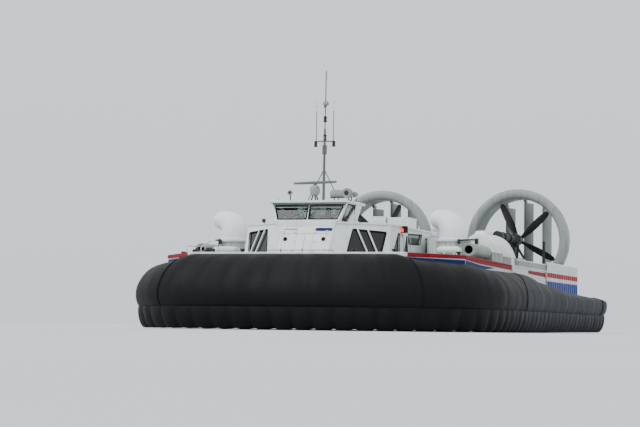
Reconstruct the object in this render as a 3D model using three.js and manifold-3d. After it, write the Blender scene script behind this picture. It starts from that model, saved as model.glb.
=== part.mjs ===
// Passenger hovercraft of the 130 seat class: a welded aluminium raft on an inflated rubber skirt,
// with a cabin and wheelhouse, two bow thrusters, two lift modules and two ducted propellers.
// Millimetres. +X is port, +Y is aft, +Z is up. The origin is amidships on the floor.
import * as THREE from 'three';
import { mergeVertices } from 'three/addons/utils/BufferGeometryUtils.js';
import Module from 'manifold-3d';

// Overall sizes
const LENGTH = 29500;
const BEAM = 15000;
const SEAT_GAP = 0.3;

// Raft: a flat deck over buoyancy tanks, with chamfered bow corners
const DECK_Z = 2750;
const RAFT_BOTTOM_Z = 1350;
const RAFT_HALF_WIDTH = 6000;
const RAFT_BOW_Y = -12900;
const RAFT_BOW_HALF_WIDTH = 4180;
const RAFT_CHAMFER_Y = -10600;
const RAFT_STERN_Y = 12900;

// Skirt: a bag round the raft with a row of fingers under it
const BAG_SEAM_Z = 800;
const BOW_CURVE_LENGTH = 6500;
const BOW_CURVE_POWER = 2.6;
const STERN_CORNER_RADIUS = 1600;
const BAG_JOINT_Y = -2000;
const STERN_JOINT_Y = 12000;
const FINGER_PITCH = 820;

// Cabin and wheelhouse
const CABIN_FLOOR_Z = 1950;
const CABIN_ROOF_Z = 4050;
const ROOF_THICK = 80;
const WALL = 50;
const PANE = 12;
const MITRE_GAP = 0.45;
const WHEELHOUSE_TOP_Z = 4860;

// Propulsion
const DUCT_X = 3450;
const DUCT_Z = 4460;
const DUCT_FRONT_Y = 10900;
const DUCT_REAR_Y = 12900;
const DUCT_INNER_R = 2045;
const DUCT_LIP_R = 2500;
const PROP_Y = 11450;
const PROP_R = 2005;
const BLADES = 5;
const BLADE_REST_DEG = 44;
const RUDDER_SPACING = 920;
const RUDDER_HINGE_Y = 13180;
const RUDDER_NOSE = 240;
const RUDDER_CHORD = 1150;
const RUDDER_HALF_THICK = 48;
const RUDDER_REST_DEG = 13;

// Bow thrusters
const THRUSTER_X = 4600;
const THRUSTER_Y = -6800;
const THRUSTER_BASE_R = 650;
const THRUSTER_BASE_TOP_Z = 3630;
const THRUSTER_REST_DEG = 125;

const wasm = await Module();
wasm.setup();

// A solid from a geometry: only positions are kept, with shared vertices merged.
function solid(geometry) {
  const bare = geometry.clone();
  bare.deleteAttribute('normal');
  bare.deleteAttribute('uv');
  const merged = mergeVertices(bare, 1e-3);
  return new wasm.Manifold(new wasm.Mesh({
    numProp: 3,
    vertProperties: merged.attributes.position.array,
    triVerts: Uint32Array.from(merged.index.array),
  }));
}

// The triangles of a solid as a geometry.
function geometryOf(made) {
  const mesh = made.getMesh();
  const geometry = new THREE.BufferGeometry();
  geometry.setAttribute('position', new THREE.BufferAttribute(Float32Array.from(mesh.vertProperties), 3));
  geometry.setIndex(new THREE.BufferAttribute(Uint32Array.from(mesh.triVerts), 1));
  geometry.computeVertexNormals();
  return geometry;
}

function joined(parts) {
  return parts.reduce((whole, part) => whole.add(part));
}

function cut(whole, tools) {
  return tools.reduce((left, tool) => left.subtract(tool), whole);
}

// The same solid on the other side of the centre plane, X to -X.
function mirrored(made) {
  const mesh = made.getMesh();
  const positions = Float32Array.from(mesh.vertProperties);
  for (let i = 0; i < positions.length; i += 3) positions[i] *= -1;
  const triVerts = Uint32Array.from(mesh.triVerts);
  for (let i = 0; i < triVerts.length; i += 3) {
    const second = triVerts[i + 1];
    triVerts[i + 1] = triVerts[i + 2];
    triVerts[i + 2] = second;
  }
  return new wasm.Manifold(new wasm.Mesh({ numProp: 3, vertProperties: positions, triVerts }));
}

// A box between two limits on each axis.
function box([x0, x1], [y0, y1], [z0, z1]) {
  const geometry = new THREE.BoxGeometry(x1 - x0, y1 - y0, z1 - z0);
  geometry.translate((x0 + x1) / 2, (y0 + y1) / 2, (z0 + z1) / 2);
  return solid(geometry);
}

// An outline pushed straight along one axis. The outline's pairs are (x, y) for 'z',
// (y, z) for 'x' and (x, z) for 'y'.
function prism(axis, outline, from, to) {
  const shape = new THREE.Shape(outline.map(([a, b]) => new THREE.Vector2(a, b)));
  const geometry = new THREE.ExtrudeGeometry(shape, { depth: to - from, bevelEnabled: false });
  const basis = {
    x: [[0, 1, 0], [0, 0, 1], [1, 0, 0]],
    y: [[1, 0, 0], [0, 0, 1], [0, -1, 0]],
    z: [[1, 0, 0], [0, 1, 0], [0, 0, 1]],
  }[axis].map((v) => new THREE.Vector3(...v));
  geometry.applyMatrix4(new THREE.Matrix4().makeBasis(...basis));
  const start = { x: [from, 0, 0], y: [0, to, 0], z: [0, 0, from] }[axis];
  geometry.translate(...start);
  return solid(geometry);
}

// A round bar between two points.
function rod(start, end, radius, sides = 8, endRadius = radius) {
  const a = new THREE.Vector3(...start);
  const b = new THREE.Vector3(...end);
  const along = b.clone().sub(a);
  const geometry = new THREE.CylinderGeometry(endRadius, radius, along.length(), sides);
  geometry.applyQuaternion(new THREE.Quaternion().setFromUnitVectors(
    new THREE.Vector3(0, 1, 0), along.clone().normalize()));
  const middle = a.add(b).multiplyScalar(0.5);
  geometry.translate(middle.x, middle.y, middle.z);
  return solid(geometry);
}

// A turned shape: the profile's pairs are (radius, distance along the axis).
function turned(axis, profile, centre, sides) {
  const points = profile.map(([r, h]) => new THREE.Vector2(r, h));
  const geometry = new THREE.LatheGeometry(points, sides);
  if (axis === 'z') geometry.rotateX(Math.PI / 2);
  geometry.translate(...centre);
  return solid(outward(mergeVertices(barePositions(geometry), 1e-2)));
}

function barePositions(geometry) {
  const bare = geometry.clone();
  bare.deleteAttribute('normal');
  bare.deleteAttribute('uv');
  return bare;
}

// Turns every face of an indexed closed surface outwards, by the sign of its volume.
function outward(geometry) {
  const p = geometry.attributes.position;
  const index = Array.from(geometry.index.array);
  const [a, b, c] = [new THREE.Vector3(), new THREE.Vector3(), new THREE.Vector3()];
  let volume = 0;
  for (let i = 0; i < index.length; i += 3) {
    a.fromBufferAttribute(p, index[i]);
    b.fromBufferAttribute(p, index[i + 1]);
    c.fromBufferAttribute(p, index[i + 2]);
    volume += a.dot(b.cross(c));
  }
  if (volume < 0) {
    for (let i = 0; i < index.length; i += 3) [index[i + 1], index[i + 2]] = [index[i + 2], index[i + 1]];
  }
  geometry.setIndex(index);
  return geometry;
}

// A closed surface through rings of equally many points, with flat ends.
// ringOutline is the ring drawn flat, which says how its ends are filled.
function loft(rings, ringOutline) {
  const count = rings[0].length;
  const index = [];
  for (let r = 0; r < rings.length - 1; r += 1) {
    for (let i = 0; i < count; i += 1) {
      const a = r * count + i;
      const b = r * count + ((i + 1) % count);
      index.push(a, b, b + count, a, b + count, a + count);
    }
  }
  const flat = ringOutline.map(([u, v]) => new THREE.Vector2(u, v));
  const clockwise = THREE.ShapeUtils.isClockWise(flat);
  const last = (rings.length - 1) * count;
  for (const face of THREE.ShapeUtils.triangulateShape(flat, [])) {
    const [a, b, c] = clockwise ? [face[0], face[2], face[1]] : face;
    index.push(a, c, b, last + a, last + b, last + c);
  }
  const geometry = new THREE.BufferGeometry();
  geometry.setAttribute('position', new THREE.Float32BufferAttribute(rings.flat(2), 3));
  geometry.setIndex(index);
  return solid(outward(geometry));
}

const between = (a, b, t) => a.map((value, i) => value + (b[i] - value) * t);
const distance = (a, b) => Math.hypot(...a.map((value, i) => value - b[i]));

const craft = new THREE.Group();

// Puts a solid into the craft as one named piece.
function add(name, made, colour, roughness, metalness = 0) {
  const material = new THREE.MeshStandardMaterial({ color: colour, roughness, metalness });
  const mesh = new THREE.Mesh(geometryOf(made), material);
  mesh.name = name;
  craft.add(mesh);
}

// Adds a port piece and its mirror image to starboard.
function addPair(name, made, colour, roughness, metalness = 0) {
  add(`${name}_port`, made, colour, roughness, metalness);
  add(`${name}_starboard`, mirrored(made), colour, roughness, metalness);
}

const WHITE = 0xdfe5e4;
const GREY_GREEN = 0xa9b3ac;
const RUBBER = 0x1c1d20;
const BLACK = 0x14161a;
const GLASS = 0x1b2024;
const METAL = 0x8f9499;

// Raft

const raftOutline = [
  [RAFT_BOW_HALF_WIDTH, RAFT_BOW_Y], [RAFT_HALF_WIDTH, RAFT_CHAMFER_Y], [RAFT_HALF_WIDTH, RAFT_STERN_Y],
  [-RAFT_HALF_WIDTH, RAFT_STERN_Y], [-RAFT_HALF_WIDTH, RAFT_CHAMFER_Y], [-RAFT_BOW_HALF_WIDTH, RAFT_BOW_Y],
];

// Cabin walls stand on the deck: plan corners at the deck and at the roof, from the bow centre
// round port to the stern, then back up to starboard.
// Each flank is one flat plate, so its roof edge runs parallel to its foot.
const FLANK_SLOPE = (12050 - 10350) / (2950 - 1000);
const cabinPort = [
  { deck: [1000, -12050], roof: [1120, -11500] },
  { deck: [2950, -10350], roof: [2880, -11500 + (2880 - 1120) * FLANK_SLOPE] },
  { deck: [2950, 3050], roof: [2880, 2990] },
];
const mirrorCorner = ({ deck, roof }) => ({ deck: [-deck[0], deck[1]], roof: [-roof[0], roof[1]] });
const cabinCorners = [...cabinPort, ...[...cabinPort].reverse().map(mirrorCorner)];
cabinCorners.levels = { footZ: DECK_Z, topZ: CABIN_ROOF_Z };

// A plan outline with every side moved inwards by a distance (negative moves it outwards).
function inset(points, by) {
  const count = points.length;
  const clockwise = THREE.ShapeUtils.isClockWise(points.map(([x, y]) => new THREE.Vector2(x, y)));
  const turn = clockwise ? -1 : 1;
  return points.map((point, i) => {
    const before = points[(i + count - 1) % count];
    const after = points[(i + 1) % count];
    const inA = unit([-(point[1] - before[1]) * turn, (point[0] - before[0]) * turn]);
    const inB = unit([-(after[1] - point[1]) * turn, (after[0] - point[0]) * turn]);
    const scale = by / (1 + inA[0] * inB[0] + inA[1] * inB[1]);
    return [point[0] + (inA[0] + inB[0]) * scale, point[1] + (inA[1] + inB[1]) * scale];
  });
}

function unit(vector) {
  const length = Math.hypot(...vector);
  return vector.map((value) => value / length);
}

const cabinDeckOutline = cabinCorners.map((corner) => corner.deck);
const cabinRoofOutline = cabinCorners.map((corner) => corner.roof);
const cabinWell = prism('z', inset(cabinDeckOutline, WALL), CABIN_FLOOR_Z, DECK_Z + 10);

// The duct's outer skin, which the raft's stern is hollowed out to carry.
const DUCT_EDGE_OUT = 90;
const ductProfile = [
  [DUCT_INNER_R + 60, DUCT_FRONT_Y + 60], [DUCT_INNER_R + 170, DUCT_FRONT_Y],
  [DUCT_LIP_R - 100, DUCT_FRONT_Y + 30], [DUCT_LIP_R, DUCT_FRONT_Y + 170],
  [DUCT_LIP_R - 10, DUCT_FRONT_Y + 500], [DUCT_INNER_R + DUCT_EDGE_OUT, DUCT_REAR_Y],
  [DUCT_INNER_R + 40, DUCT_REAR_Y], [DUCT_INNER_R, DUCT_FRONT_Y + 900],
  [DUCT_INNER_R, DUCT_FRONT_Y + 350],
];
const DUCT_SIDES = 40;
const ductSaddle = turned('y', [
  [0, DUCT_FRONT_Y - 40], [DUCT_LIP_R + SEAT_GAP, DUCT_FRONT_Y - 40],
  [DUCT_LIP_R + SEAT_GAP, DUCT_FRONT_Y + 500], [DUCT_INNER_R + DUCT_EDGE_OUT + SEAT_GAP, DUCT_REAR_Y],
  [0, DUCT_REAR_Y],
], [DUCT_X, 0, DUCT_Z], DUCT_SIDES);

const raft = cut(prism('z', raftOutline, RAFT_BOTTOM_Z, DECK_Z), [
  cabinWell, ductSaddle, mirrored(ductSaddle),
]);
add('hull_raft', raft, GREY_GREEN, 0.6);

// Landing skids under the raft, which carry the craft when the skirt is down
const SKID_X = 3100;
const SKID_HALF_WIDTH = 170;
const SKID_DEPTH = 420;
const SKID_ENDS_Y = [-9500, 10500];
const skid = prism('x', [
  [SKID_ENDS_Y[0], RAFT_BOTTOM_Z], [SKID_ENDS_Y[0] + 700, RAFT_BOTTOM_Z - SKID_DEPTH],
  [SKID_ENDS_Y[1] - 500, RAFT_BOTTOM_Z - SKID_DEPTH], [SKID_ENDS_Y[1], RAFT_BOTTOM_Z],
], SKID_X - SKID_HALF_WIDTH, SKID_X + SKID_HALF_WIDTH);
const skidTies = [-7000, 0, 8000].map((y) => (
  box([-SKID_X, SKID_X], [y - 100, y + 100], [RAFT_BOTTOM_Z - 120, RAFT_BOTTOM_Z])));
add('landing_skids', joined([skid, mirrored(skid), ...skidTies]), METAL, 0.5, 0.6);

// Skirt

// A point on the bow's rounded plan, by angle from the centre line (0) to the full beam (90).
function bowPoint(degrees) {
  const angle = THREE.MathUtils.degToRad(degrees);
  const power = 2 / BOW_CURVE_POWER;
  const x = (BEAM / 2) * Math.sin(angle) ** power;
  const y = -LENGTH / 2 + BOW_CURVE_LENGTH - BOW_CURVE_LENGTH * Math.max(Math.cos(angle), 0) ** power;
  return [x, y];
}

// Stations of the skirt, port side: where it is tied to the raft, its outer edge, and the height
// of the tie (top).
const BOW_SEAM_DEG = 38.4;
const CHAMFER_DEG = 65;
const BOW_TOP_Z = 2650;
const SHOULDER_END_TOP_Z = 2430;
const FULL_X = BEAM / 2;
const sternCentre = [FULL_X - STERN_CORNER_RADIUS, LENGTH / 2 - STERN_CORNER_RADIUS];

function bowStations() {
  return [-BOW_SEAM_DEG, -28, -17, -7, 0, 7, 17, 28, BOW_SEAM_DEG].map((degrees) => {
    const outer = bowPoint(Math.abs(degrees));
    outer[0] *= Math.sign(degrees);
    const full = bowPoint(BOW_SEAM_DEG)[0];
    return { inner: [outer[0] * RAFT_BOW_HALF_WIDTH / full, RAFT_BOW_Y], outer, top: BOW_TOP_Z };
  });
}

function shoulderStations() {
  const corner = [RAFT_BOW_HALF_WIDTH, RAFT_BOW_Y];
  const chamfer = [RAFT_HALF_WIDTH, RAFT_CHAMFER_Y];
  const full = [RAFT_HALF_WIDTH, -LENGTH / 2 + BOW_CURVE_LENGTH];
  const rows = [
    // degrees round the bow curve, top
    [BOW_SEAM_DEG, BOW_TOP_Z],
    [47, 2635],
    [56, 2605],
    [CHAMFER_DEG, 2565],
    [74, 2525],
    [82, 2490],
    [90, 2465],
  ];
  const stations = rows.map(([degrees, top]) => {
    const inner = degrees <= CHAMFER_DEG
      ? between(corner, chamfer, (degrees - BOW_SEAM_DEG) / (CHAMFER_DEG - BOW_SEAM_DEG))
      : between(chamfer, full, (degrees - CHAMFER_DEG) / (90 - CHAMFER_DEG));
    return { inner, outer: bowPoint(degrees), top };
  });
  stations.push({
    inner: [RAFT_HALF_WIDTH, BAG_JOINT_Y], outer: [FULL_X, BAG_JOINT_Y], top: SHOULDER_END_TOP_Z,
  });
  return stations;
}

function sideStations() {
  const rows = [
    // y, top
    [BAG_JOINT_Y, 2290],
    [1200, 2180],
    [5700, 1960],
    [STERN_JOINT_Y, 1720],
  ];
  return rows.map(([y, top]) => ({ inner: [RAFT_HALF_WIDTH, y], outer: [FULL_X, y], top }));
}

function sternStations() {
  const top = 1700;
  const half = [
    { inner: [RAFT_HALF_WIDTH, STERN_JOINT_Y], outer: [FULL_X, STERN_JOINT_Y], top },
  ];
  for (const degrees of [0, 22.5, 45, 67.5, 90]) {
    const angle = THREE.MathUtils.degToRad(degrees);
    const outer = [
      sternCentre[0] + STERN_CORNER_RADIUS * Math.cos(angle),
      sternCentre[1] + STERN_CORNER_RADIUS * Math.sin(angle),
    ];
    half.push({ inner: [RAFT_HALF_WIDTH, RAFT_STERN_Y], outer, top });
  }
  const other = [...half].reverse().map(({ inner, outer }) => (
    { inner: [-inner[0], inner[1]], outer: [-outer[0], outer[1]], top }));
  return [...half, ...other];
}

// The bag's section: share of the way from raft edge to outer edge, height, and how far the
// height follows the tie.
const bagSection = [
  [0.00, 2650, 1.00], [0.20, 2665, 0.97], [0.44, 2560, 0.88], [0.68, 2290, 0.62], [0.88, 1900, 0.30],
  [1.00, 1450, 0.00], [0.99, 1100, 0.00], [0.88, BAG_SEAM_Z, 0.00], [0.10, BAG_SEAM_Z, 0.00],
  [-0.12, RAFT_BOTTOM_Z - SEAT_GAP, 0.00], [0.00, RAFT_BOTTOM_Z - SEAT_GAP, 0.00],
];
// The fingers' section, the same way, with the share that each finger swells by.
const FINGER_TOP_Z = BAG_SEAM_Z + 80;
const fingerSection = [
  [0.90, FINGER_TOP_Z, 0.05], [0.68, 0, 0.07], [0.44, 0, 0.0], [0.16, FINGER_TOP_Z, 0.0],
];

// A point of a section on a station: share 0 lies just clear of the raft's edge.
function skirtPoint(station, share, z) {
  const way = distance(station.inner, station.outer);
  const clear = share < 0 ? 0 : 2 * SEAT_GAP / way;
  const [x, y] = between(station.inner, station.outer, clear + share * (1 - clear));
  return [x, y, z];
}

function bag(stations) {
  const rings = stations.map((station) => bagSection.map(([share, z, follow]) => (
    skirtPoint(station, share, z + follow * (station.top - BOW_TOP_Z)))));
  return loft(rings, bagSection);
}

// Fingers in a row under a bag, each swelling outwards between two seams.
function fingers(stations) {
  const lengths = stations.slice(1).map((station, i) => distance(station.outer, stations[i].outer));
  const total = lengths.reduce((sum, length) => sum + length, 0);
  const count = Math.round(total / FINGER_PITCH);
  const steps = count * 4;
  const rings = [];
  for (let step = 0; step <= steps; step += 1) {
    let along = (step / steps) * total;
    let i = 0;
    while (i < lengths.length - 1 && along > lengths[i]) {
      along -= lengths[i];
      i += 1;
    }
    const t = Math.min(along / lengths[i], 1);
    const station = {
      inner: between(stations[i].inner, stations[i + 1].inner, t),
      outer: between(stations[i].outer, stations[i + 1].outer, t),
    };
    const swell = Math.abs(Math.sin((step / 4) * Math.PI));
    rings.push(fingerSection.map(([share, z, by]) => skirtPoint(station, share + by * swell, z)));
  }
  return loft(rings, fingerSection);
}

// Neighbouring skirt pieces stop short of each other by the seat gap.
function shortened(stations) {
  const list = [...stations];
  const trim = (a, b) => {
    const t = SEAT_GAP / distance(a.outer, b.outer);
    return { inner: between(a.inner, b.inner, t), outer: between(a.outer, b.outer, t), top: a.top };
  };
  list[0] = trim(list[0], list[1]);
  const end = list.length - 1;
  list[end] = trim(list[end], list[end - 1]);
  return list;
}

function skirtPiece(stations) {
  const trimmed = shortened(stations);
  return bag(trimmed).add(fingers(trimmed));
}

add('skirt_bow', skirtPiece(bowStations()), RUBBER, 0.55);
addPair('skirt_shoulder', skirtPiece(shoulderStations()), RUBBER, 0.55);
addPair('skirt_side', skirtPiece(sideStations()), 0x55585e, 0.6);
add('skirt_stern', skirtPiece(sternStations()), 0x55585e, 0.6);

// Side bulwarks: a low coaming amidships and a ribbed plate at the stern, on the raft's side
const COAMING_Y = [-800, 5600];
const COAMING_TOP_Z = 3050;
const STERN_PLATE_Y = [5200, 12850];
const STERN_PLATE_TOP_Z = 3150;
const STERN_PLATE_OUT = 60;
const RIBS = 14;
const RIB_DEPTH = 45;
const ribPitch = (STERN_PLATE_Y[1] - STERN_PLATE_Y[0]) / RIBS;
const ribOutline = [[RAFT_HALF_WIDTH + SEAT_GAP, STERN_PLATE_Y[0]]];
for (let i = 0; i < RIBS; i += 1) {
  const y = STERN_PLATE_Y[0] + i * ribPitch;
  const face = RAFT_HALF_WIDTH + STERN_PLATE_OUT;
  ribOutline.push([face, y], [face, y + ribPitch * 0.55]);
  ribOutline.push([face + RIB_DEPTH, y + ribPitch * 0.65], [face + RIB_DEPTH, y + ribPitch * 0.9]);
}
ribOutline.push([RAFT_HALF_WIDTH + STERN_PLATE_OUT, STERN_PLATE_Y[1]]);
ribOutline.push([RAFT_HALF_WIDTH + SEAT_GAP, STERN_PLATE_Y[1]]);
const sternPlate = prism('z', ribOutline, 1600, STERN_PLATE_TOP_Z);
const belowPlate = prism('x', [
  [STERN_PLATE_Y[0] - 100, 1000], [STERN_PLATE_Y[1] + 100, 1000],
  [STERN_PLATE_Y[1] + 100, 1760], [STERN_PLATE_Y[0] - 100, 2070],
], RAFT_HALF_WIDTH - 50, RAFT_HALF_WIDTH + 300);
const plateTop = box(
  [RAFT_HALF_WIDTH - 60, RAFT_HALF_WIDTH + 20], STERN_PLATE_Y, [DECK_Z, STERN_PLATE_TOP_Z]);
const coaming = box([RAFT_HALF_WIDTH - 120, RAFT_HALF_WIDTH], [COAMING_Y[0], STERN_PLATE_Y[0] + 50],
  [DECK_Z, COAMING_TOP_Z]);
addPair('side_bulwark', joined([cut(sternPlate, [belowPlate]), plateTop, coaming]), WHITE, 0.45);

// Cabin walls

// The plan of a shell of walls at a height, moved in from its outer face by a depth.
function planAt(corners, z, depth) {
  const { footZ, topZ } = corners.levels;
  const t = (z - footZ) / (topZ - footZ);
  return inset(corners.map((corner) => between(corner.deck, corner.roof, t)), depth);
}

// One wall between two corners, mitred at its ends, at a depth behind the outer face.
function wall(corners, i, lowZ, highZ, depth, thick) {
  const next = (i + 1) % corners.length;
  const ring = (z) => {
    const outer = planAt(corners, z, depth);
    const inner = planAt(corners, z, depth + thick);
    const t = MITRE_GAP / distance(outer[i], outer[next]);
    return [
      [...between(outer[i], outer[next], t), z], [...between(outer[next], outer[i], t), z],
      [...between(inner[next], inner[i], t), z], [...between(inner[i], inner[next], t), z],
    ];
  };
  const low = ring(lowZ);
  return loft([low, ring(highZ)], low.map(([x, y]) => [x, y]));
}

// A prism through a wall: its outline's pairs are the distance along the wall's foot and the height.
function throughWall(corners, i, outline, reach = 600) {
  const next = (i + 1) % corners.length;
  const start = corners[i].deck;
  const along = unit([corners[next].deck[0] - start[0], corners[next].deck[1] - start[1]]);
  const out = [along[1], -along[0]];
  const ring = (side) => outline.map(([u, z]) => [
    start[0] + along[0] * u + out[0] * side * reach, start[1] + along[1] * u + out[1] * side * reach, z,
  ]);
  return loft([ring(-1), ring(1)], outline);
}

const FRONT = cabinCorners.length - 1;
const PORT_FLANK = 0;
const PORT_SIDE = 1;
const REAR = 2;
const WINDOW_LOW_Z = 2950;
const WINDOW_HIGH_Z = 3840;
const SLANT = 260;

// A window outline that leans aft as it rises.
const leaning = (from, to, low = WINDOW_LOW_Z, high = WINDOW_HIGH_Z) => {
  const shift = SLANT * (high - low) / (WINDOW_HIGH_Z - WINDOW_LOW_Z);
  return [[from, low], [to, low], [to + shift, high], [from + shift, high]];
};

const cabinWall = (i) => wall(cabinCorners, i, DECK_Z, CABIN_ROOF_Z, 0, WALL);
const cabinPane = (i, outline) => (
  wall(cabinCorners, i, DECK_Z + 50, CABIN_ROOF_Z - 60, WALL + SEAT_GAP, PANE)
    .intersect(throughWall(cabinCorners, i, outline)));

// Bow hatch doors in the front wall, each hinged at its outer edge
const frontWidth = 2 * cabinPort[0].deck[0];
const HATCH_LOW_Z = 2850;
const HATCH_HIGH_Z = 3850;
const HATCH_INNER_X = 330;
const HATCH_OUTER_X = 860;
const DOOR_GAP = 8;
const FRONT_LEAN = (cabinPort[0].roof[1] - cabinPort[0].deck[1]) / (CABIN_ROOF_Z - DECK_Z);
const hatchOutline = (margin, headMargin) => [
  [HATCH_INNER_X + margin, HATCH_LOW_Z + margin], [HATCH_OUTER_X - margin, HATCH_LOW_Z + margin],
  [HATCH_OUTER_X - margin, HATCH_HIGH_Z - headMargin], [HATCH_INNER_X + margin, HATCH_HIGH_Z - headMargin],
];
// The leaning leaf rises as it swings out, so it has more room above it than at its sides.
const HATCH_HEAD_GAP = 30;
const hatchHole = (side) => throughWall(cabinCorners, FRONT,
  hatchOutline(0, 0).map(([x, z]) => [frontWidth / 2 + side * x, z]));
// Hinge knuckles lie in front of the wall along the door's outer edge, and lean with it.
const frontY = (z) => cabinPort[0].deck[1] + FRONT_LEAN * (z - DECK_Z);
const HATCH_PIN_OUT = 20;
const HATCH_PIN_R = 14;
const hatchPinAt = (z) => [HATCH_OUTER_X - DOOR_GAP / 2, frontY(z) - HATCH_PIN_OUT, z];
const hatchHinges = [3000, 3700];
const KNUCKLE = 60;
const hatchWallKnuckles = joined(hatchHinges.flatMap((z) => [
  rod(hatchPinAt(z + KNUCKLE / 2 + SEAT_GAP), hatchPinAt(z + 1.5 * KNUCKLE), HATCH_PIN_R, 6),
  wallTab(z + KNUCKLE, 1),
  rod(hatchPinAt(z - 1.5 * KNUCKLE), hatchPinAt(z - KNUCKLE / 2 - SEAT_GAP), HATCH_PIN_R, 6),
  wallTab(z - KNUCKLE, 1),
]));

// A small tab from a hatch knuckle back to the wall (side 1) or to the door leaf (side -1).
function wallTab(z, side) {
  const [x, y] = hatchPinAt(z);
  const reach = side > 0 ? [x, x + 45] : [x - 45, x];
  return box(reach, [y - 4, y + HATCH_PIN_OUT + 25], [z - 18, z + 18]);
}

const DOOR_THICK = 40;
const leafOutline = hatchOutline(DOOR_GAP, HATCH_HEAD_GAP).map(([x, z]) => [frontWidth / 2 + x, z]);
const hatchLeaf = joined([
  wall(cabinCorners, FRONT, DECK_Z, CABIN_ROOF_Z, 0, DOOR_THICK)
    .intersect(throughWall(cabinCorners, FRONT, leafOutline)),
  ...hatchHinges.flatMap((z) => [
    rod(hatchPinAt(z - KNUCKLE / 2), hatchPinAt(z + KNUCKLE / 2), HATCH_PIN_R, 6),
    wallTab(z, -1),
  ]),
]);
const frontWall = cut(cabinWall(FRONT), [hatchHole(1), hatchHole(-1)])
  .add(hatchWallKnuckles)
  .add(mirrored(hatchWallKnuckles));
add('cabin_front', frontWall, WHITE, 0.4);
addPair('bow_hatch', hatchLeaf, WHITE, 0.4);

// Flank walls with one big raked window each
const flankLength = distance(cabinPort[0].deck, cabinPort[1].deck);
const flankWindow = [[850, 2960], [2300, 2960], [2600, 3780], [1200, 3860]];
const flankPane = [[700, 2900], [2480, 2900], [2680, 3920], [1000, 3920]];
const flankWall = cut(cabinWall(PORT_FLANK), [throughWall(cabinCorners, PORT_FLANK, flankWindow)]);
addPair('cabin_flank', flankWall, WHITE, 0.4);
addPair('flank_glass', cabinPane(PORT_FLANK, flankPane), GLASS, 0.1);

// Side walls: a narrow raked window, the door with its own raked window, a wide window high up
// behind it and a row of windows further aft
const sideY = (y) => y - cabinPort[1].deck[1];
const sideOutline = (rows) => rows.map(([y, z]) => [sideY(y), z]);
const SIDE_DOOR_Y = [-8300, -7450];
const SIDE_DOOR_Z = [2800, 3900];
const slitWindow = [[-9750, 2980], [-8740, 2980], [-8600, 3800], [-8840, 3800]];
const highWindow = [[-7370, 3450], [-5570, 3500], [-5170, 3920], [-7370, 3840]];
const doorWindow = [[-8140, 3000], [-7535, 3000], [-7535, 3740], [-7600, 3740]];
const windowRow = [-4700, -3000, -1300, 500];
const WINDOW_LENGTH = 1350;
const ROW_LOW_Z = 3080;
const ROW_HIGH_Z = 3780;
const sideWindows = [
  sideOutline(slitWindow),
  sideOutline(highWindow),
  ...windowRow.map((y) => leaning(sideY(y), sideY(y + WINDOW_LENGTH), ROW_LOW_Z, ROW_HIGH_Z)),
];
const doorOutline = (margin) => sideOutline([
  [SIDE_DOOR_Y[0] + margin, SIDE_DOOR_Z[0] + margin],
  [SIDE_DOOR_Y[1] - margin, SIDE_DOOR_Z[0] + margin],
  [SIDE_DOOR_Y[1] - margin, SIDE_DOOR_Z[1] - margin],
  [SIDE_DOOR_Y[0] + margin, SIDE_DOOR_Z[1] - margin],
]);
// The door's hinge line is at its forward edge and leans inboard with the wall.
const SIDE_LEAN = (cabinPort[1].roof[0] - cabinPort[1].deck[0]) / (CABIN_ROOF_Z - DECK_Z);
const sideX = (z) => cabinPort[1].deck[0] + SIDE_LEAN * (z - DECK_Z);
const DOOR_PIN_OUT = 20;
const DOOR_PIN_R = 14;
const doorPinAt = (z) => [sideX(z) + DOOR_PIN_OUT, SIDE_DOOR_Y[0] + DOOR_GAP / 2, z];
const doorHinges = [2980, 3720];
const doorTab = (z, side) => {
  const [x, y] = doorPinAt(z);
  const reach = side > 0 ? [y, y + 45] : [y - 45, y];
  return box([x - DOOR_PIN_OUT - 25, x + 4], reach, [z - 18, z + 18]);
};
const doorWallKnuckles = joined(doorHinges.flatMap((z) => [
  rod(doorPinAt(z + KNUCKLE / 2 + SEAT_GAP), doorPinAt(z + 1.5 * KNUCKLE), DOOR_PIN_R, 6),
  doorTab(z + KNUCKLE, -1),
  rod(doorPinAt(z - 1.5 * KNUCKLE), doorPinAt(z - KNUCKLE / 2 - SEAT_GAP), DOOR_PIN_R, 6),
  doorTab(z - KNUCKLE, -1),
]));
const sideWall = cut(cabinWall(PORT_SIDE), [
  ...sideWindows.map((outline) => throughWall(cabinCorners, PORT_SIDE, outline)),
  throughWall(cabinCorners, PORT_SIDE, doorOutline(0)),
]).add(doorWallKnuckles);
addPair('cabin_side', sideWall, WHITE, 0.4);
const doorLeaf = joined([
  cut(wall(cabinCorners, PORT_SIDE, DECK_Z, CABIN_ROOF_Z, 0, DOOR_THICK)
    .intersect(throughWall(cabinCorners, PORT_SIDE, doorOutline(DOOR_GAP))),
  [throughWall(cabinCorners, PORT_SIDE, sideOutline(doorWindow))]),
  ...doorHinges.flatMap((z) => [
    rod(doorPinAt(z - KNUCKLE / 2), doorPinAt(z + KNUCKLE / 2), DOOR_PIN_R, 6),
    doorTab(z, 1),
  ]),
]);
addPair('side_door', doorLeaf, WHITE, 0.4);
const paneBand = (fromY, toY, low, high) => (
  sideOutline([[fromY, low], [toY, low], [toY, high], [fromY, high]]));
addPair('slit_glass', cabinPane(PORT_SIDE, paneBand(-9810, -8540, 2920, 3860)), GLASS, 0.1);
addPair('side_glass', cabinPane(PORT_SIDE, paneBand(-7420, 2300, 3020, 3960)), GLASS, 0.1);

add('cabin_rear', cabinWall(REAR), WHITE, 0.4);

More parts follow.
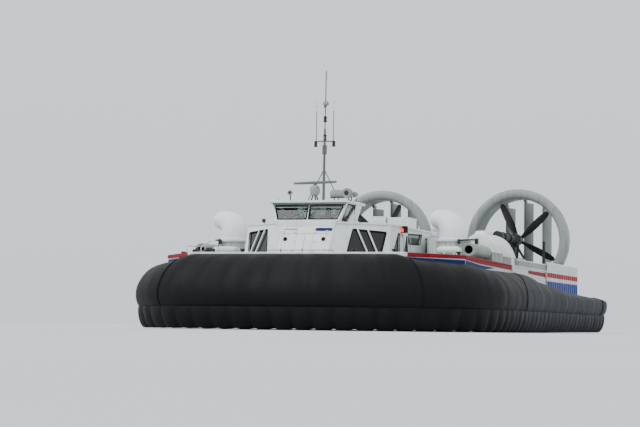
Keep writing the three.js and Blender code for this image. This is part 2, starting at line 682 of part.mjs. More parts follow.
// Wheelhouse on the cabin roof: it flares outwards as it rises
const wheelhouseCorners = [
  { deck: [1270, -11460], roof: [1510, -11130] },
  { deck: [1270, -9150], roof: [1510, -9150] },
  { deck: [-1270, -9150], roof: [-1510, -9150] },
  { deck: [-1270, -11460], roof: [-1510, -11130] },
];
const WHEELHOUSE_FOOT_Z = CABIN_ROOF_Z + ROOF_THICK;
const SILL_Z = 4220;
const HEAD_Z = 4740;
wheelhouseCorners.levels = { footZ: WHEELHOUSE_FOOT_Z, topZ: WHEELHOUSE_TOP_Z };
const frontPaneWidth = 2 * wheelhouseCorners[0].deck[0];
const FRONT_FRAME = 65;
const FRONT_FLARE = 190;
const frontWindow = [
  [FRONT_FRAME, SILL_Z], [frontPaneWidth / 2 - FRONT_FRAME / 2, SILL_Z],
  [frontPaneWidth / 2 - FRONT_FRAME / 2, HEAD_Z], [FRONT_FRAME - FRONT_FLARE, HEAD_Z],
];
const sideWindow = [[320, 4180], [1020, 4180], [1470, 4760], [1440, 4810], [480, 4810]];
const rearSpan = [200, 2 * wheelhouseCorners[1].deck[0] - 200];
const rearPane = [
  [rearSpan[0], SILL_Z], [rearSpan[1], SILL_Z], [rearSpan[1], HEAD_Z], [rearSpan[0], HEAD_Z],
];
const portTools = [[0, sideWindow], [3, frontWindow]].map(([i, outline]) => (
  throughWall(wheelhouseCorners, i, outline, 300)));
const wheelhousePlan = wheelhouseCorners.map((corner) => corner.deck);
// The wheelhouse's plan carried from one height to another, at a depth behind the outer face.
const wheelhouseRing = (z, depth) => (
  planAt(wheelhouseCorners, z, depth).map((point) => [...point, z]));
const wheelhouseBlock = (low, high, depth) => (
  loft([wheelhouseRing(low, depth), wheelhouseRing(high, depth)], wheelhousePlan));
const wheelhouseShell = wheelhouseBlock(WHEELHOUSE_FOOT_Z, WHEELHOUSE_TOP_Z, 0)
  .subtract(wheelhouseBlock(WHEELHOUSE_FOOT_Z - 1, WHEELHOUSE_TOP_Z + 1, WALL));
add('wheelhouse_walls', cut(wheelhouseShell, [
  ...portTools, ...portTools.map(mirrored), throughWall(wheelhouseCorners, 1, rearPane, 300),
]), WHITE, 0.4);

// Wheelhouse glass: one band all round, close behind the walls
const GLASS_BAND_Z = [WHEELHOUSE_FOOT_Z + 10, WHEELHOUSE_TOP_Z - 10];
const paneDepth = WALL + SEAT_GAP;
const wheelhouseGlass = wheelhouseBlock(...GLASS_BAND_Z, paneDepth)
  .subtract(wheelhouseBlock(GLASS_BAND_Z[0] - 1, GLASS_BAND_Z[1] + 1, paneDepth + PANE));
add('wheelhouse_glass', wheelhouseGlass, GLASS, 0.1);

// Wheelhouse roof slab with a visor over the front windows
const visorOutline = [
  [1580, -11420], [1620, -9060], [-1620, -9060], [-1580, -11420],
];
add('wheelhouse_roof', prism('z', visorOutline, WHEELHOUSE_TOP_Z, WHEELHOUSE_TOP_Z + 90), WHITE, 0.4);

// Cabin roof with the opening below the wheelhouse
const roofOutline = inset(cabinRoofOutline, -40);
const wheelhouseFloorHole = prism('z', inset(wheelhouseCorners.map((c) => c.deck), WALL + 30),
  CABIN_ROOF_Z - 10, WHEELHOUSE_FOOT_Z + 10);
const sternRoof = prism('z', roofOutline, CABIN_ROOF_Z, WHEELHOUSE_FOOT_Z);
add('cabin_roof', cut(sternRoof, [wheelhouseFloorHole]), WHITE, 0.4);

// Helm: a raised floor in the cabin with the console and two chairs
const helm = joined([
  box([-850, 850], [-11200, -9300], [CABIN_FLOOR_Z, 3050]),
  box([-900, 900], [-11200, -10800], [3050, 4150]),
  ...[-450, 450].flatMap((x) => [
    box([x - 60, x + 60], [-10060, -9940], [3050, 3500]),
    box([x - 250, x + 250], [-10250, -9750], [3480, 3600]),
    box([x - 240, x + 240], [-9850, -9740], [3590, 4330]),
  ]),
]);
add('helm', helm, 0x2a2d31, 0.7);

// Cabin seats in rows on one floor panel, with an aisle down the middle
const SEAT_ROWS = 11;
const ROW_PITCH = 980;
const FIRST_ROW_Y = -8300;
const seatBlocks = [[-2500, -500], [500, 2500]];
// One bench seen from the side: cushion and back in one outline, from the floor panel up.
const benchOutline = (y) => [
  [y, CABIN_FLOOR_Z + 30], [y + 560, CABIN_FLOOR_Z + 30], [y + 600, CABIN_FLOOR_Z + 1150],
  [y + 490, CABIN_FLOOR_Z + 1150], [y + 440, CABIN_FLOOR_Z + 460], [y, CABIN_FLOOR_Z + 430],
];
const rowStarts = Array.from({ length: SEAT_ROWS }, (_, row) => FIRST_ROW_Y + row * ROW_PITCH);
const floorPanelY = [FIRST_ROW_Y - 300, FIRST_ROW_Y + ROW_PITCH * SEAT_ROWS];
const seats = joined([
  box([-2550, 2550], floorPanelY, [CABIN_FLOOR_Z, CABIN_FLOOR_Z + 40]),
  ...rowStarts.flatMap((y) => seatBlocks.map((block) => prism('x', benchOutline(y), ...block))),
]);
add('cabin_seats', seats, 0x2d3f63, 0.8);

// Mast on the wheelhouse roof, with its crossarm, whips and lamps
const roofTopZ = WHEELHOUSE_TOP_Z + 90;
const MAST_Y = -9400;
const MAST_TOP = [0, MAST_Y + 180, 10200];
const mast = joined([
  turned('z', [[0, 0], [160, 0], [160, 25], [0, 25]], [0, MAST_Y, roofTopZ], 10),
  rod([0, MAST_Y, roofTopZ + 10], [0, MAST_Y + 90, 7900], 60, 8, 42),
  rod([0, MAST_Y + 90, 7850], MAST_TOP, 22, 6),
  rod([-370, MAST_Y + 75, 7400], [370, MAST_Y + 75, 7400], 24, 6),
  rod([-350, MAST_Y + 75, 7400], [-350, MAST_Y + 110, 8600], 16, 6),
  rod([350, MAST_Y + 75, 7400], [350, MAST_Y + 110, 8600], 16, 6),
  rod([0, MAST_Y + 60, 6900], [0, MAST_Y + 75, 7250], 95, 8),
  rod([0, MAST_Y + 60, 8760], [0, MAST_Y + 160, 8840], 50, 6),
  ...[-700, 700].flatMap((x) => [
    rod([x, MAST_Y, roofTopZ + 15], [0, MAST_Y + 45, 6300], 20, 6),
    box([x - 50, x + 50], [MAST_Y - 50, MAST_Y + 50], [roofTopZ, roofTopZ + 25]),
  ]),
]);
add('mast', mast, WHITE, 0.5);

// Radar: pedestal on the roof and the turning scanner bar
const RADAR_Y = -10500;
const RADAR_TOP_Z = 5660;
const RADAR_FOOT_R = 150;
const radarPedestal = joined([
  turned('z', [[0, 0], [190, 0], [190, 30], [0, 30]], [0, RADAR_Y, roofTopZ], 12),
  ...[-120, 0, 120].map((degrees) => {
    const turn = THREE.MathUtils.degToRad(degrees);
    const foot = [RADAR_FOOT_R * Math.sin(turn), RADAR_Y + RADAR_FOOT_R * Math.cos(turn), roofTopZ + 10];
    return rod(foot, [0, RADAR_Y, roofTopZ + 370], 18, 6);
  }),
  turned('z', [[0, 0], [185, 0], [185, 370], [0, 370]], [0, RADAR_Y, RADAR_TOP_Z - 370], 16),
]);
add('radar_pedestal', radarPedestal, WHITE, 0.5);
const RADAR_BAR = 1750;
const radarScanner = joined([
  turned('z', [[0, 0], [70, 0], [70, 60], [0, 60]], [0, RADAR_Y, RADAR_TOP_Z + SEAT_GAP], 12),
  box([-RADAR_BAR / 2, RADAR_BAR / 2], [RADAR_Y - 55, RADAR_Y + 55], [RADAR_TOP_Z + 50, RADAR_TOP_Z + 140]),
]);
add('radar_scanner', radarScanner, 0x5a5e60, 0.5);

// Searchlights on the roof: a large one with its canister to port, a small one to starboard
const LIGHT_Z = 5250;
const LIGHT_Y = -10870;
const searchlights = joined([
  box([-1060, 1460], [LIGHT_Y - 50, LIGHT_Y + 50], [roofTopZ, roofTopZ + 30]),
  rod([1390, LIGHT_Y, roofTopZ + 20], [1390, LIGHT_Y, LIGHT_Z], 25, 6),
  rod([1390, LIGHT_Y - 210, LIGHT_Z], [1390, LIGHT_Y + 100, LIGHT_Z], 180, 16),
  rod([700, LIGHT_Y, LIGHT_Z - 30], [1390, LIGHT_Y, LIGHT_Z - 30], 130, 12),
  rod([780, LIGHT_Y, roofTopZ + 20], [780, LIGHT_Y, LIGHT_Z], 20, 6),
  rod([-1000, LIGHT_Y, roofTopZ + 10], [-1000, LIGHT_Y, LIGHT_Z + 40], 22, 6),
  rod([-1000, LIGHT_Y - 90, LIGHT_Z + 50], [-1000, LIGHT_Y + 90, LIGHT_Z + 50], 100, 12),
]);
add('searchlights', searchlights, 0xd5d9d8, 0.4);

// Roof units: two ventilation boxes to each side, on one base plate
const roofUnit = joined([
  box([-10, 2200], [-4700, -3300], [WHEELHOUSE_FOOT_Z, WHEELHOUSE_FOOT_Z + 40]),
  box([600, 1190], [-4650, -3350], [WHEELHOUSE_FOOT_Z + 30, 4715]),
  box([1290, 2170], [-4650, -3350], [WHEELHOUSE_FOOT_Z + 30, 4670]),
]);
add('roof_units', roofUnit.add(mirrored(roofUnit)), WHITE, 0.5);

// Lift modules on the side deck: each drives the fans for the cushion and the bow thruster
const LIFT_X = [3180, 5050];
const LIFT_Y = [-5300, 2500];
const LIFT_TOP_Z = 3850;
const SLAT_DEPTH = 40;
const LID_Z = [LIFT_TOP_Z - 100, LIFT_TOP_Z];
const SLAT_TOP_Z = LIFT_TOP_Z - 150;
const frontSlats = Array.from({ length: 7 }, (_, i) => LIFT_X[0] + 170 + i * 240);
const sideSlats = Array.from({ length: 18 }, (_, i) => LIFT_Y[0] + 300 + i * 400);
const liftModule = cut(joined([
  box(LIFT_X, LIFT_Y, [DECK_Z, LIFT_TOP_Z - 90]),
  box([LIFT_X[0] - 30, LIFT_X[1] + 40], [LIFT_Y[0] - 50, LIFT_Y[1] + 30], LID_Z),
]), [
  ...frontSlats.map((x) => box([x, x + 110], [LIFT_Y[0] - 1, LIFT_Y[0] + SLAT_DEPTH], [2900, SLAT_TOP_Z])),
  ...sideSlats.map((y) => box([LIFT_X[1] - SLAT_DEPTH, LIFT_X[1] + 1], [y, y + 180], [2950, SLAT_TOP_Z])),
]);
addPair('lift_module', liftModule, GREY_GREEN, 0.55);

// Side pipes: a wide open pipe over a deck locker, outboard of the thruster
const PIPE_X = 5560;
const PIPE_Z = 3200;
const PIPE_R = 260;
const pipe = turned('y', [
  [0, -5300], [PIPE_R, -5300], [PIPE_R, -8200], [PIPE_R - 40, -8200], [PIPE_R - 40, -5340], [0, -5340],
], [PIPE_X, 0, PIPE_Z], 16);
const pipeAndLocker = joined([
  pipe,
  box([PIPE_X - 120, PIPE_X + 120], [-7900, -7750], [DECK_Z, PIPE_Z - PIPE_R + 45]),
  box([5250, 5850], [-5345, -3300], [DECK_Z, 3230]),
]);
addPair('side_pipe', pipeAndLocker, GREY_GREEN, 0.5, 0.3);

// Bow thrusters: a round base on the deck and a turning elbow nozzle. Both nozzles are turned
// the same way, to starboard and a little aft.
const FLANGE_Z = THRUSTER_BASE_TOP_Z - DECK_Z;
const thrusterBase = turned('z', [
  [THRUSTER_BASE_R - 60, 0], [THRUSTER_BASE_R - 60, FLANGE_Z - 90],
  [THRUSTER_BASE_R - 130, FLANGE_Z - 90], [THRUSTER_BASE_R - 130, FLANGE_Z],
  [THRUSTER_BASE_R + 20, FLANGE_Z], [THRUSTER_BASE_R + 20, FLANGE_Z - 90],
  [THRUSTER_BASE_R - 20, FLANGE_Z - 90], [THRUSTER_BASE_R - 20, 0], [THRUSTER_BASE_R - 60, 0],
], [THRUSTER_X, THRUSTER_Y, DECK_Z], 24);
addPair('thruster_base', thrusterBase, GREY_GREEN, 0.5);

// A thin elbow: rings along a quarter bend from straight up to straight ahead, about its own axis.
const ELBOW_BEND = 620;
const ELBOW_RISER = 330;
const ELBOW_WALL = 35;
const ELBOW_SIDES = 16;
const elbowRings = [
  // degrees round the bend, radius, straight run past the bend
  [0, 560, -ELBOW_RISER], [0, 560, 0], [22.5, 562, 0], [45, 567, 0], [67.5, 577, 0], [90, 590, 0],
  [90, 600, 140],
];
function elbowRing([degrees, radius, run], less) {
  const angle = THREE.MathUtils.degToRad(degrees);
  const centre = [
    0, -ELBOW_BEND * (1 - Math.cos(angle)) - run * Math.sin(angle),
    ELBOW_RISER + ELBOW_BEND * Math.sin(angle) + run * Math.cos(angle),
  ];
  const across = [0, Math.cos(angle), Math.sin(angle)];
  return Array.from({ length: ELBOW_SIDES }, (_, i) => {
    const turn = (i / ELBOW_SIDES) * Math.PI * 2;
    const r = radius - less;
    return [
      centre[0] + r * Math.cos(turn), centre[1] + r * Math.sin(turn) * across[1],
      centre[2] + r * Math.sin(turn) * across[2],
    ];
  });
}
const ringFlat = Array.from({ length: ELBOW_SIDES }, (_, i) => [
  Math.cos((i / ELBOW_SIDES) * Math.PI * 2), Math.sin((i / ELBOW_SIDES) * Math.PI * 2)]);
const elbowOuter = loft(elbowRings.map((row) => elbowRing(row, 0)), ringFlat);
// The bore runs a little past both ends of the elbow.
const BORE_PAST = 5;
const boreRings = elbowRings.map(([degrees, radius, run], i) => {
  const past = (i === elbowRings.length - 1) - (i === 0);
  return [degrees, radius, run + past * BORE_PAST];
});
const elbowInner = loft(boreRings.map((row) => elbowRing(row, ELBOW_WALL)), ringFlat);
const elbow = elbowOuter.subtract(elbowInner);
for (const [name, x] of [['port', THRUSTER_X], ['starboard', -THRUSTER_X]]) {
  const geometry = geometryOf(elbow);
  geometry.rotateZ(-THREE.MathUtils.degToRad(THRUSTER_REST_DEG));
  geometry.translate(x, THRUSTER_Y, THRUSTER_BASE_TOP_Z + SEAT_GAP);
  add(`thruster_nozzle_${name}`, solid(geometry), WHITE, 0.4);
}

// Engine modules: arched white cowls well ahead of each duct
const ENGINE_Y = [3150, 6500];
const ENGINE_X = 3390;
const ENGINE_TOP_Z = 4430;
const ENGINE_HALF_WIDTH = 1050;
const ARCH_STEPS = 14;
const archOutline = Array.from({ length: ARCH_STEPS + 1 }, (_, i) => {
  const angle = (i / ARCH_STEPS) * Math.PI;
  const rise = (ENGINE_TOP_Z - DECK_Z) * Math.sin(angle);
  return [ENGINE_X + ENGINE_HALF_WIDTH * Math.cos(angle), DECK_Z + rise];
});
addPair('engine_module', prism('y', archOutline, ...ENGINE_Y), WHITE, 0.4);

// Pylons: a shaft housing from the engine module to the propeller, on legs from the deck
const SHAFT_R = 190;
const HUB_FRONT_Y = PROP_Y - 260;
const PYLON_Y = 10300;
const FRONT_LEGS_Y = 7600;
const PIPE_POST_OUT = 1450;
const SHAFT_START_Y = ENGINE_Y[1] + SEAT_GAP;
const pylon = joined([
  turned('y', [[0, SHAFT_START_Y], [SHAFT_R, SHAFT_START_Y], [SHAFT_R, HUB_FRONT_Y - SEAT_GAP],
    [0, HUB_FRONT_Y - SEAT_GAP]], [DUCT_X, 0, DUCT_Z], 12),
  box([DUCT_X - 1150, DUCT_X + 1600], [PYLON_Y - 90, PYLON_Y + 90], [DECK_Z, DECK_Z + 110]),
  box([DUCT_X - 90, DUCT_X + 90], [PYLON_Y - 70, PYLON_Y + 70], [DECK_Z + 50, DUCT_Z]),
  rod([DUCT_X - 950, PYLON_Y, DECK_Z + 60], [DUCT_X, PYLON_Y, DUCT_Z - 100], 60, 6),
  rod([DUCT_X + 950, PYLON_Y, DECK_Z + 60], [DUCT_X, PYLON_Y, DUCT_Z - 100], 60, 6),
  rod([DUCT_X + PIPE_POST_OUT, PYLON_Y, DECK_Z + 60], [DUCT_X + PIPE_POST_OUT, PYLON_Y, 4360], 70, 8),
  box([DUCT_X - 700, DUCT_X + 700], [FRONT_LEGS_Y - 80, FRONT_LEGS_Y + 80], [DECK_Z, DECK_Z + 100]),
  rod([DUCT_X - 550, FRONT_LEGS_Y, DECK_Z + 60], [DUCT_X, FRONT_LEGS_Y, DUCT_Z - 100], 55, 6),
  rod([DUCT_X + 550, FRONT_LEGS_Y, DECK_Z + 60], [DUCT_X, FRONT_LEGS_Y, DUCT_Z - 100], 55, 6),
]).intersect(box([0, 6000], [SHAFT_START_Y - 1, DUCT_REAR_Y], [DECK_Z, 6000]));
addPair('pylon', pylon, BLACK, 0.5);

// Propellers: five twisted blades on a hub
const bladeStations = [
  // radius, chord, thickness, pitch in degrees
  [150, 230, 110, 60], [600, 340, 75, 47], [1200, 380, 48, 32], [1700, 330, 34, 25], [PROP_R, 210, 20, 21],
];
const bladeSection = [[0.5, 0], [0.2, 0.45], [-0.25, 0.5], [-0.5, 0], [-0.25, -0.5], [0.2, -0.45]];
const blade = loft(bladeStations.map(([radius, chord, thick, pitch]) => {
  const angle = THREE.MathUtils.degToRad(pitch);
  return bladeSection.map(([s, h]) => [
    s * chord * Math.cos(angle) - h * thick * Math.sin(angle),
    s * chord * Math.sin(angle) + h * thick * Math.cos(angle), radius,
  ]);
}), bladeSection);
function propeller(turnDegrees) {
  const hub = turned('y', [
    [0, -260], [170, -260], [200, -120], [200, 140], [150, 260], [60, 340], [0, 350],
  ], [0, 0, 0], 15);
  const blades = Array.from({ length: BLADES }, (_, i) => {
    const geometry = geometryOf(blade);
    geometry.rotateY(THREE.MathUtils.degToRad(90 - turnDegrees - i * (360 / BLADES)));
    return solid(geometry);
  });
  const geometry = geometryOf(joined([hub, ...blades]));
  geometry.translate(DUCT_X, PROP_Y, DUCT_Z);
  return solid(geometry);
}
addPair('propeller', propeller(BLADE_REST_DEG), BLACK, 0.4);

// Ducts, with lugs at the rear that hold the rudders' pins
const rudderOffsets = [-RUDDER_SPACING, 0, RUDDER_SPACING];
const rudderHalfSpan = (offset) => Math.sqrt(DUCT_INNER_R ** 2 - (Math.abs(offset) + 60) ** 2) - 70;
// A lug's outer end stays between the two faces of the duct's rear edge.
const lugReach = (offset) => Math.sqrt((DUCT_INNER_R + 60) ** 2 - offset ** 2);
const LUG_HALF_WIDTH = 55;
const PIN_R = 28;
const RUDDER_CLEAR = 12;
const duct = joined([
  turned('y', [...ductProfile, ductProfile[0]], [DUCT_X, 0, DUCT_Z], DUCT_SIDES),
  ...rudderOffsets.flatMap((offset) => [-1, 1].map((side) => {
    const x = DUCT_X + offset;
    const root = DUCT_Z + side * (rudderHalfSpan(offset) + RUDDER_CLEAR);
    const tip = DUCT_Z + side * lugReach(offset);
    return box([x - LUG_HALF_WIDTH, x + LUG_HALF_WIDTH], [DUCT_REAR_Y - 120, RUDDER_HINGE_Y + 60],
      [Math.min(root, tip), Math.max(root, tip)]);
  })),
]);
addPair('duct', duct, 0xb9bfc0, 0.45);

// Rudders: three upright vanes behind each duct, all with their trailing edges turned to port
const rudderNames = ['inner', 'middle', 'outer'];
const TAIL_Y = RUDDER_CHORD - RUDDER_NOSE;
const vaneOutline = [
  [0, -RUDDER_NOSE], [RUDDER_HALF_THICK - 6, 90 - RUDDER_NOSE], [RUDDER_HALF_THICK, 60], [8, TAIL_Y],
  [-8, TAIL_Y], [-RUDDER_HALF_THICK, 60], [6 - RUDDER_HALF_THICK, 90 - RUDDER_NOSE],
];
rudderOffsets.forEach((offset, i) => {
  const half = rudderHalfSpan(offset);
  const pinHalf = half + RUDDER_CLEAR - SEAT_GAP;
  const vane = prism('z', vaneOutline, -half, half).add(rod([0, 0, -pinHalf], [0, 0, pinHalf], PIN_R, 8));
  for (const [name, side] of [['port', 1], ['starboard', -1]]) {
    const geometry = geometryOf(vane);
    geometry.rotateZ(-THREE.MathUtils.degToRad(RUDDER_REST_DEG));
    geometry.translate(side * (DUCT_X + offset), RUDDER_HINGE_Y, DUCT_Z);
    add(`rudder_${rudderNames[i]}_${name}`, solid(geometry), 0x9aa0a3, 0.45);
  }
});

export default craft;
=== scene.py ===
import math

import bmesh
import bpy
import numpy as np
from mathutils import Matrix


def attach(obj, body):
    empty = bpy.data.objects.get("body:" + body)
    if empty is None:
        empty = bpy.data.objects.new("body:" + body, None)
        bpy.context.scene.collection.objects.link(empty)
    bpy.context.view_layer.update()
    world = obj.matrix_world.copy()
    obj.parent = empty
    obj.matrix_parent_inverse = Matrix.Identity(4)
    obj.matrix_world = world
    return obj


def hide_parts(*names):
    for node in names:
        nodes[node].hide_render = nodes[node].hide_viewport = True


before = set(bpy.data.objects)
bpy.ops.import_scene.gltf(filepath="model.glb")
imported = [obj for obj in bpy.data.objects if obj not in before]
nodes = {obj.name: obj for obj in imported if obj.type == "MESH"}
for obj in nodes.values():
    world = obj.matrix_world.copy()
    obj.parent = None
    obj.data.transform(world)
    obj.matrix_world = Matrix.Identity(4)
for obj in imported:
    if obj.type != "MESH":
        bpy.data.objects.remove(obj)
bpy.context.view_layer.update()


# Floor, light and camera
# The craft stands on a plain pale floor under one broad overcast light, and is seen from low
# down, ahead of its port bow.

def linear(code):
    """An sRGB hex code as linear colour: c / 12.92 up to 0.04045, else ((c + 0.055) / 1.055) ** 2.4."""
    c = np.array([int(code[i:i + 2], 16) for i in (0, 2, 4)]) / 255
    rgb = np.where(c <= 0.04045, c / 12.92, ((c + 0.055) / 1.055) ** 2.4)
    return (*rgb.tolist(), 1.0)


def add_node(tree, kind, inputs=None, **settings):
    """Adds one shader node. Settings are its own properties, inputs its values or the outputs it takes."""
    made = tree.nodes.new(kind)
    for name, value in settings.items():
        setattr(made, name, value)
    for name, value in (inputs or {}).items():
        if isinstance(value, bpy.types.NodeSocket):
            tree.links.new(value, made.inputs[name])
        else:
            made.inputs[name].default_value = value
    return made


def new_material(name, **values):
    """A material with its surface shader, the shader's plain values set, and the Object coordinates."""
    material = bpy.data.materials.new(name)
    material.use_nodes = True
    tree = material.node_tree
    shader = tree.nodes["Principled BSDF"]
    for socket, value in values.items():
        shader.inputs[socket.replace("_", " ")].default_value = value
    position = add_node(tree, "ShaderNodeTexCoord").outputs["Object"]
    return material, tree, shader, position


def surface(points, wrap_u=False, wrap_v=False, caps=False):
    """Quads over a grid of points[u, v]. Wrapping joins the last row or column to the first, and
    caps close both ends of a tube that wraps in v with one flat face each."""
    rows, columns = points.shape[:2]
    index = np.arange(rows * columns).reshape(rows, columns)
    if wrap_u:
        index = np.vstack([index, index[:1]])
    if wrap_v:
        index = np.hstack([index, index[:, :1]])
    quads = np.stack([index[:-1, :-1], index[1:, :-1], index[1:, 1:], index[:-1, 1:]], -1)
    blocks = [quads.reshape(-1, 4)]
    if caps:
        blocks += [index[:1, :columns], index[-1:, :columns][:, ::-1]]
    return points.reshape(-1, 3), blocks


def together(*shapes):
    """Several shapes as one: their points in a row, with each shape's faces counted on from it."""
    starts = np.cumsum([0] + [len(points) for points, _ in shapes[:-1]])
    return (np.concatenate([points for points, _ in shapes]),
            [block + start for (_, blocks), start in zip(shapes, starts) for block in blocks])


def mirrored(shape):
    """The same shape on the other side of the centre plane: X to -X, with its faces turned back."""
    points, blocks = shape
    return points * (-1.0, 1.0, 1.0), [block[:, ::-1] for block in blocks]


def both_sides(*shapes):
    shape = together(*shapes)
    return together(shape, mirrored(shape))


def piece(name, shape, material, body="hull", replaces=(), sharp=35, bevel=0.0, marks=None):
    """One finished piece: its mesh, its smooth and sharp edges, a round of the bevel's width on
    them, and the body that carries it. Marks are values for each point that its material reads."""
    points, blocks = shape
    mesh = bpy.data.meshes.new(name)
    mesh.from_pydata(points.tolist(), [], [face for block in blocks for face in block.tolist()])
    for mark, values in (marks or {}).items():
        mesh.attributes.new(mark, "FLOAT", "POINT").data.foreach_set("value", values.ravel())
    work = bmesh.new()
    work.from_mesh(mesh)
    bmesh.ops.remove_doubles(work, verts=work.verts, dist=2e-5)
    bmesh.ops.recalc_face_normals(work, faces=work.faces)
    work.to_mesh(mesh)
    work.free()
    mesh.shade_smooth()
    mesh.set_sharp_from_angle(angle=math.radians(sharp))
    mesh.materials.append(material)
    made = bpy.data.objects.new(name, mesh)
    bpy.context.scene.collection.objects.link(made)
    if bevel:
        rounded = made.modifiers.new("rounded edges", "BEVEL")
        rounded.width = bevel
        rounded.segments = 2
        rounded.limit_method = "ANGLE"
        rounded.angle_limit = math.radians(sharp)
    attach(made, body)
    if replaces:
        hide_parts(*replaces)
    return made


# Smooth screed, matt, with a faint cloudiness.
floor_paint, tree, shader, position = new_material("pale floor screed", Roughness=0.85)
clouds = add_node(tree, "ShaderNodeTexNoise", {"Vector": position, "Scale": 0.15, "Detail": 3.0})
tone = add_node(tree, "ShaderNodeMix", {0: clouds.outputs["Fac"], 6: linear("c6cbcf"), 7: linear("d0d4d8")},
                data_type="RGBA")
tree.links.new(tone.outputs[2], shader.inputs["Base Color"])
FLOOR_HALF = 1500.0
floor_corners = [(x * FLOOR_HALF, y * FLOOR_HALF, -0.002) for x, y in ((-1, -1), (1, -1), (1, 1), (-1, 1))]
floor_mesh = bpy.data.meshes.new("floor")
floor_mesh.from_pydata(floor_corners, [], [(0, 1, 2, 3)])
floor_mesh.materials.append(floor_paint)
floor = bpy.data.objects.new("floor", floor_mesh)
bpy.context.scene.collection.objects.link(floor)

sky = bpy.data.worlds.new("overcast light")
bpy.context.scene.world = sky
sky.use_nodes = True
tree = sky.node_tree
direction = add_node(tree, "ShaderNodeTexCoord").outputs["Generated"]
height = add_node(tree, "ShaderNodeSeparateXYZ", {0: direction}).outputs["Z"]
shade = add_node(tree, "ShaderNodeMapRange", {"Value": height, "From Min": -0.05, "From Max": 0.9})
band = add_node(tree, "ShaderNodeValToRGB", {"Fac": shade.outputs["Result"]})
band.color_ramp.elements[0].color = linear("d5dde4")
band.color_ramp.elements[1].color = linear("ffffff")
tree.nodes["Background"].inputs["Strength"].default_value = 1.42
tree.links.new(band.outputs["Color"], tree.nodes["Background"].inputs["Color"])

sun = bpy.data.objects.new("broad light", bpy.data.lights.new("broad light", "SUN"))
sun.data.energy = 1.6
sun.data.angle = math.radians(50)
sun.rotation_euler = (math.radians(42), math.radians(-8), math.radians(-35))
bpy.context.scene.collection.objects.link(sun)

camera = bpy.data.objects.new("camera", bpy.data.cameras.new("camera"))
camera.location = (22.62, -80.73, 0.15)
camera.rotation_euler = (1.62968, -0.01257, 0.30804)
camera.data.lens = 107.74
camera.data.sensor_width = 36.0
camera.data.clip_end = 4000.0
bpy.context.scene.collection.objects.link(camera)
bpy.context.scene.camera = camera


# Raft
# The welded aluminium raft that everything stands on: white sides, a grey-green deck with grit
# in its paint, and a white half-round capping welded along the deck's edge.

def keep(names, material, bevel=0.012):
    """CAD pieces that show as they are: their triangles welded, a small round on each edge, and paint."""
    for name in names:
        node = nodes[name]
        node.data.materials.clear()
        node.data.materials.append(material)
        weld = node.modifiers.new("welded", "WELD")
        weld.merge_threshold = 1e-5
        rounded = node.modifiers.new("rounded edges", "BEVEL")
        rounded.width = bevel
        rounded.segments = 2
        rounded.limit_method = "ANGLE"
        rounded.angle_limit = math.radians(30)


def marine_paint(name, colour, soil, roughness, soiled=0.35):
    """Sprayed marine paint on welded plate: soft patches, rain streaks that run down, salt in the
    streaks, and the faint waviness that welding leaves in thin plate."""
    material, tree, shader, position = new_material(name, Specular_IOR_Level=0.45)
    patches = add_node(tree, "ShaderNodeTexNoise",
                       {"Vector": position, "Scale": 0.7, "Detail": 6.0, "Roughness": 0.6})
    long = add_node(tree, "ShaderNodeMapping", {"Vector": position, "Scale": (7.0, 7.0, 0.45)})
    streaks = add_node(tree, "ShaderNodeTexNoise", {"Vector": long.outputs[0], "Scale": 1.0, "Detail": 5.0})
    worn = add_node(tree, "ShaderNodeMath", {0: patches.outputs["Fac"], 1: streaks.outputs["Fac"]},
                    operation="MULTIPLY")
    amount = add_node(tree, "ShaderNodeMapRange", {"Value": worn.outputs[0], "From Min": 0.2,
                                                   "From Max": 0.42, "To Min": 0.0, "To Max": soiled})
    tone = add_node(tree, "ShaderNodeMix", {0: amount.outputs["Result"], 6: linear(colour), 7: linear(soil)},
                    data_type="RGBA")
    gloss = add_node(tree, "ShaderNodeMapRange", {"Value": patches.outputs["Fac"], "From Min": 0.3,
                                                  "From Max": 0.7, "To Min": roughness,
                                                  "To Max": roughness + 0.18})
    waves = add_node(tree, "ShaderNodeTexNoise", {"Vector": position, "Scale": 2.2, "Detail": 1.0})
    peel = add_node(tree, "ShaderNodeTexNoise", {"Vector": position, "Scale": 140.0, "Detail": 2.0})
    soft = add_node(tree, "ShaderNodeBump",
                    {"Height": waves.outputs["Fac"], "Strength": 0.25, "Distance": 0.012})
    fine = add_node(tree, "ShaderNodeBump", {"Height": peel.outputs["Fac"], "Strength": 0.08,
                                             "Distance": 0.001, "Normal": soft.outputs[0]})
    tree.links.new(tone.outputs[2], shader.inputs["Base Color"])
    tree.links.new(gloss.outputs["Result"], shader.inputs["Roughness"])
    tree.links.new(fine.outputs[0], shader.inputs["Normal"])
    return material


# Two-pack white polyurethane on aluminium plate, semi-gloss, streaked grey by spray and exhaust.
white_paint = marine_paint("white polyurethane paint", "e9eeef", "a5adad", 0.32)
# The same paint in grey-green on machinery casings, flatter and dirtier.
casing_paint = marine_paint("grey green casing paint", "8f9b94", "4f5652", 0.45, 0.5)
# Satin black paint on fittings and running gear.
black_paint = marine_paint("satin black paint", "131518", "3c4043", 0.38, 0.3)
# Mill-finish aluminium, dulled by salt.
bare_metal, tree, shader, position = new_material("salt-dulled aluminium", Metallic=1.0)
scuffs = add_node(tree, "ShaderNodeTexNoise", {"Vector": position, "Scale": 22.0, "Detail": 6.0})
tone = add_node(tree, "ShaderNodeMix", {0: scuffs.outputs["Fac"], 6: linear("8b9094"), 7: linear("b9bdbf")},
                data_type="RGBA")
gloss = add_node(tree, "ShaderNodeMapRange", {"Value": scuffs.outputs["Fac"], "To Min": 0.35, "To Max": 0.65})
tree.links.new(tone.outputs[2], shader.inputs["Base Color"])
tree.links.new(gloss.outputs["Result"], shader.inputs["Roughness"])

# The deck's height, and where what stands on it starts: 2 mm higher, clear of its paint.
DECK_Z, ON_DECK = 2.75, 2.752
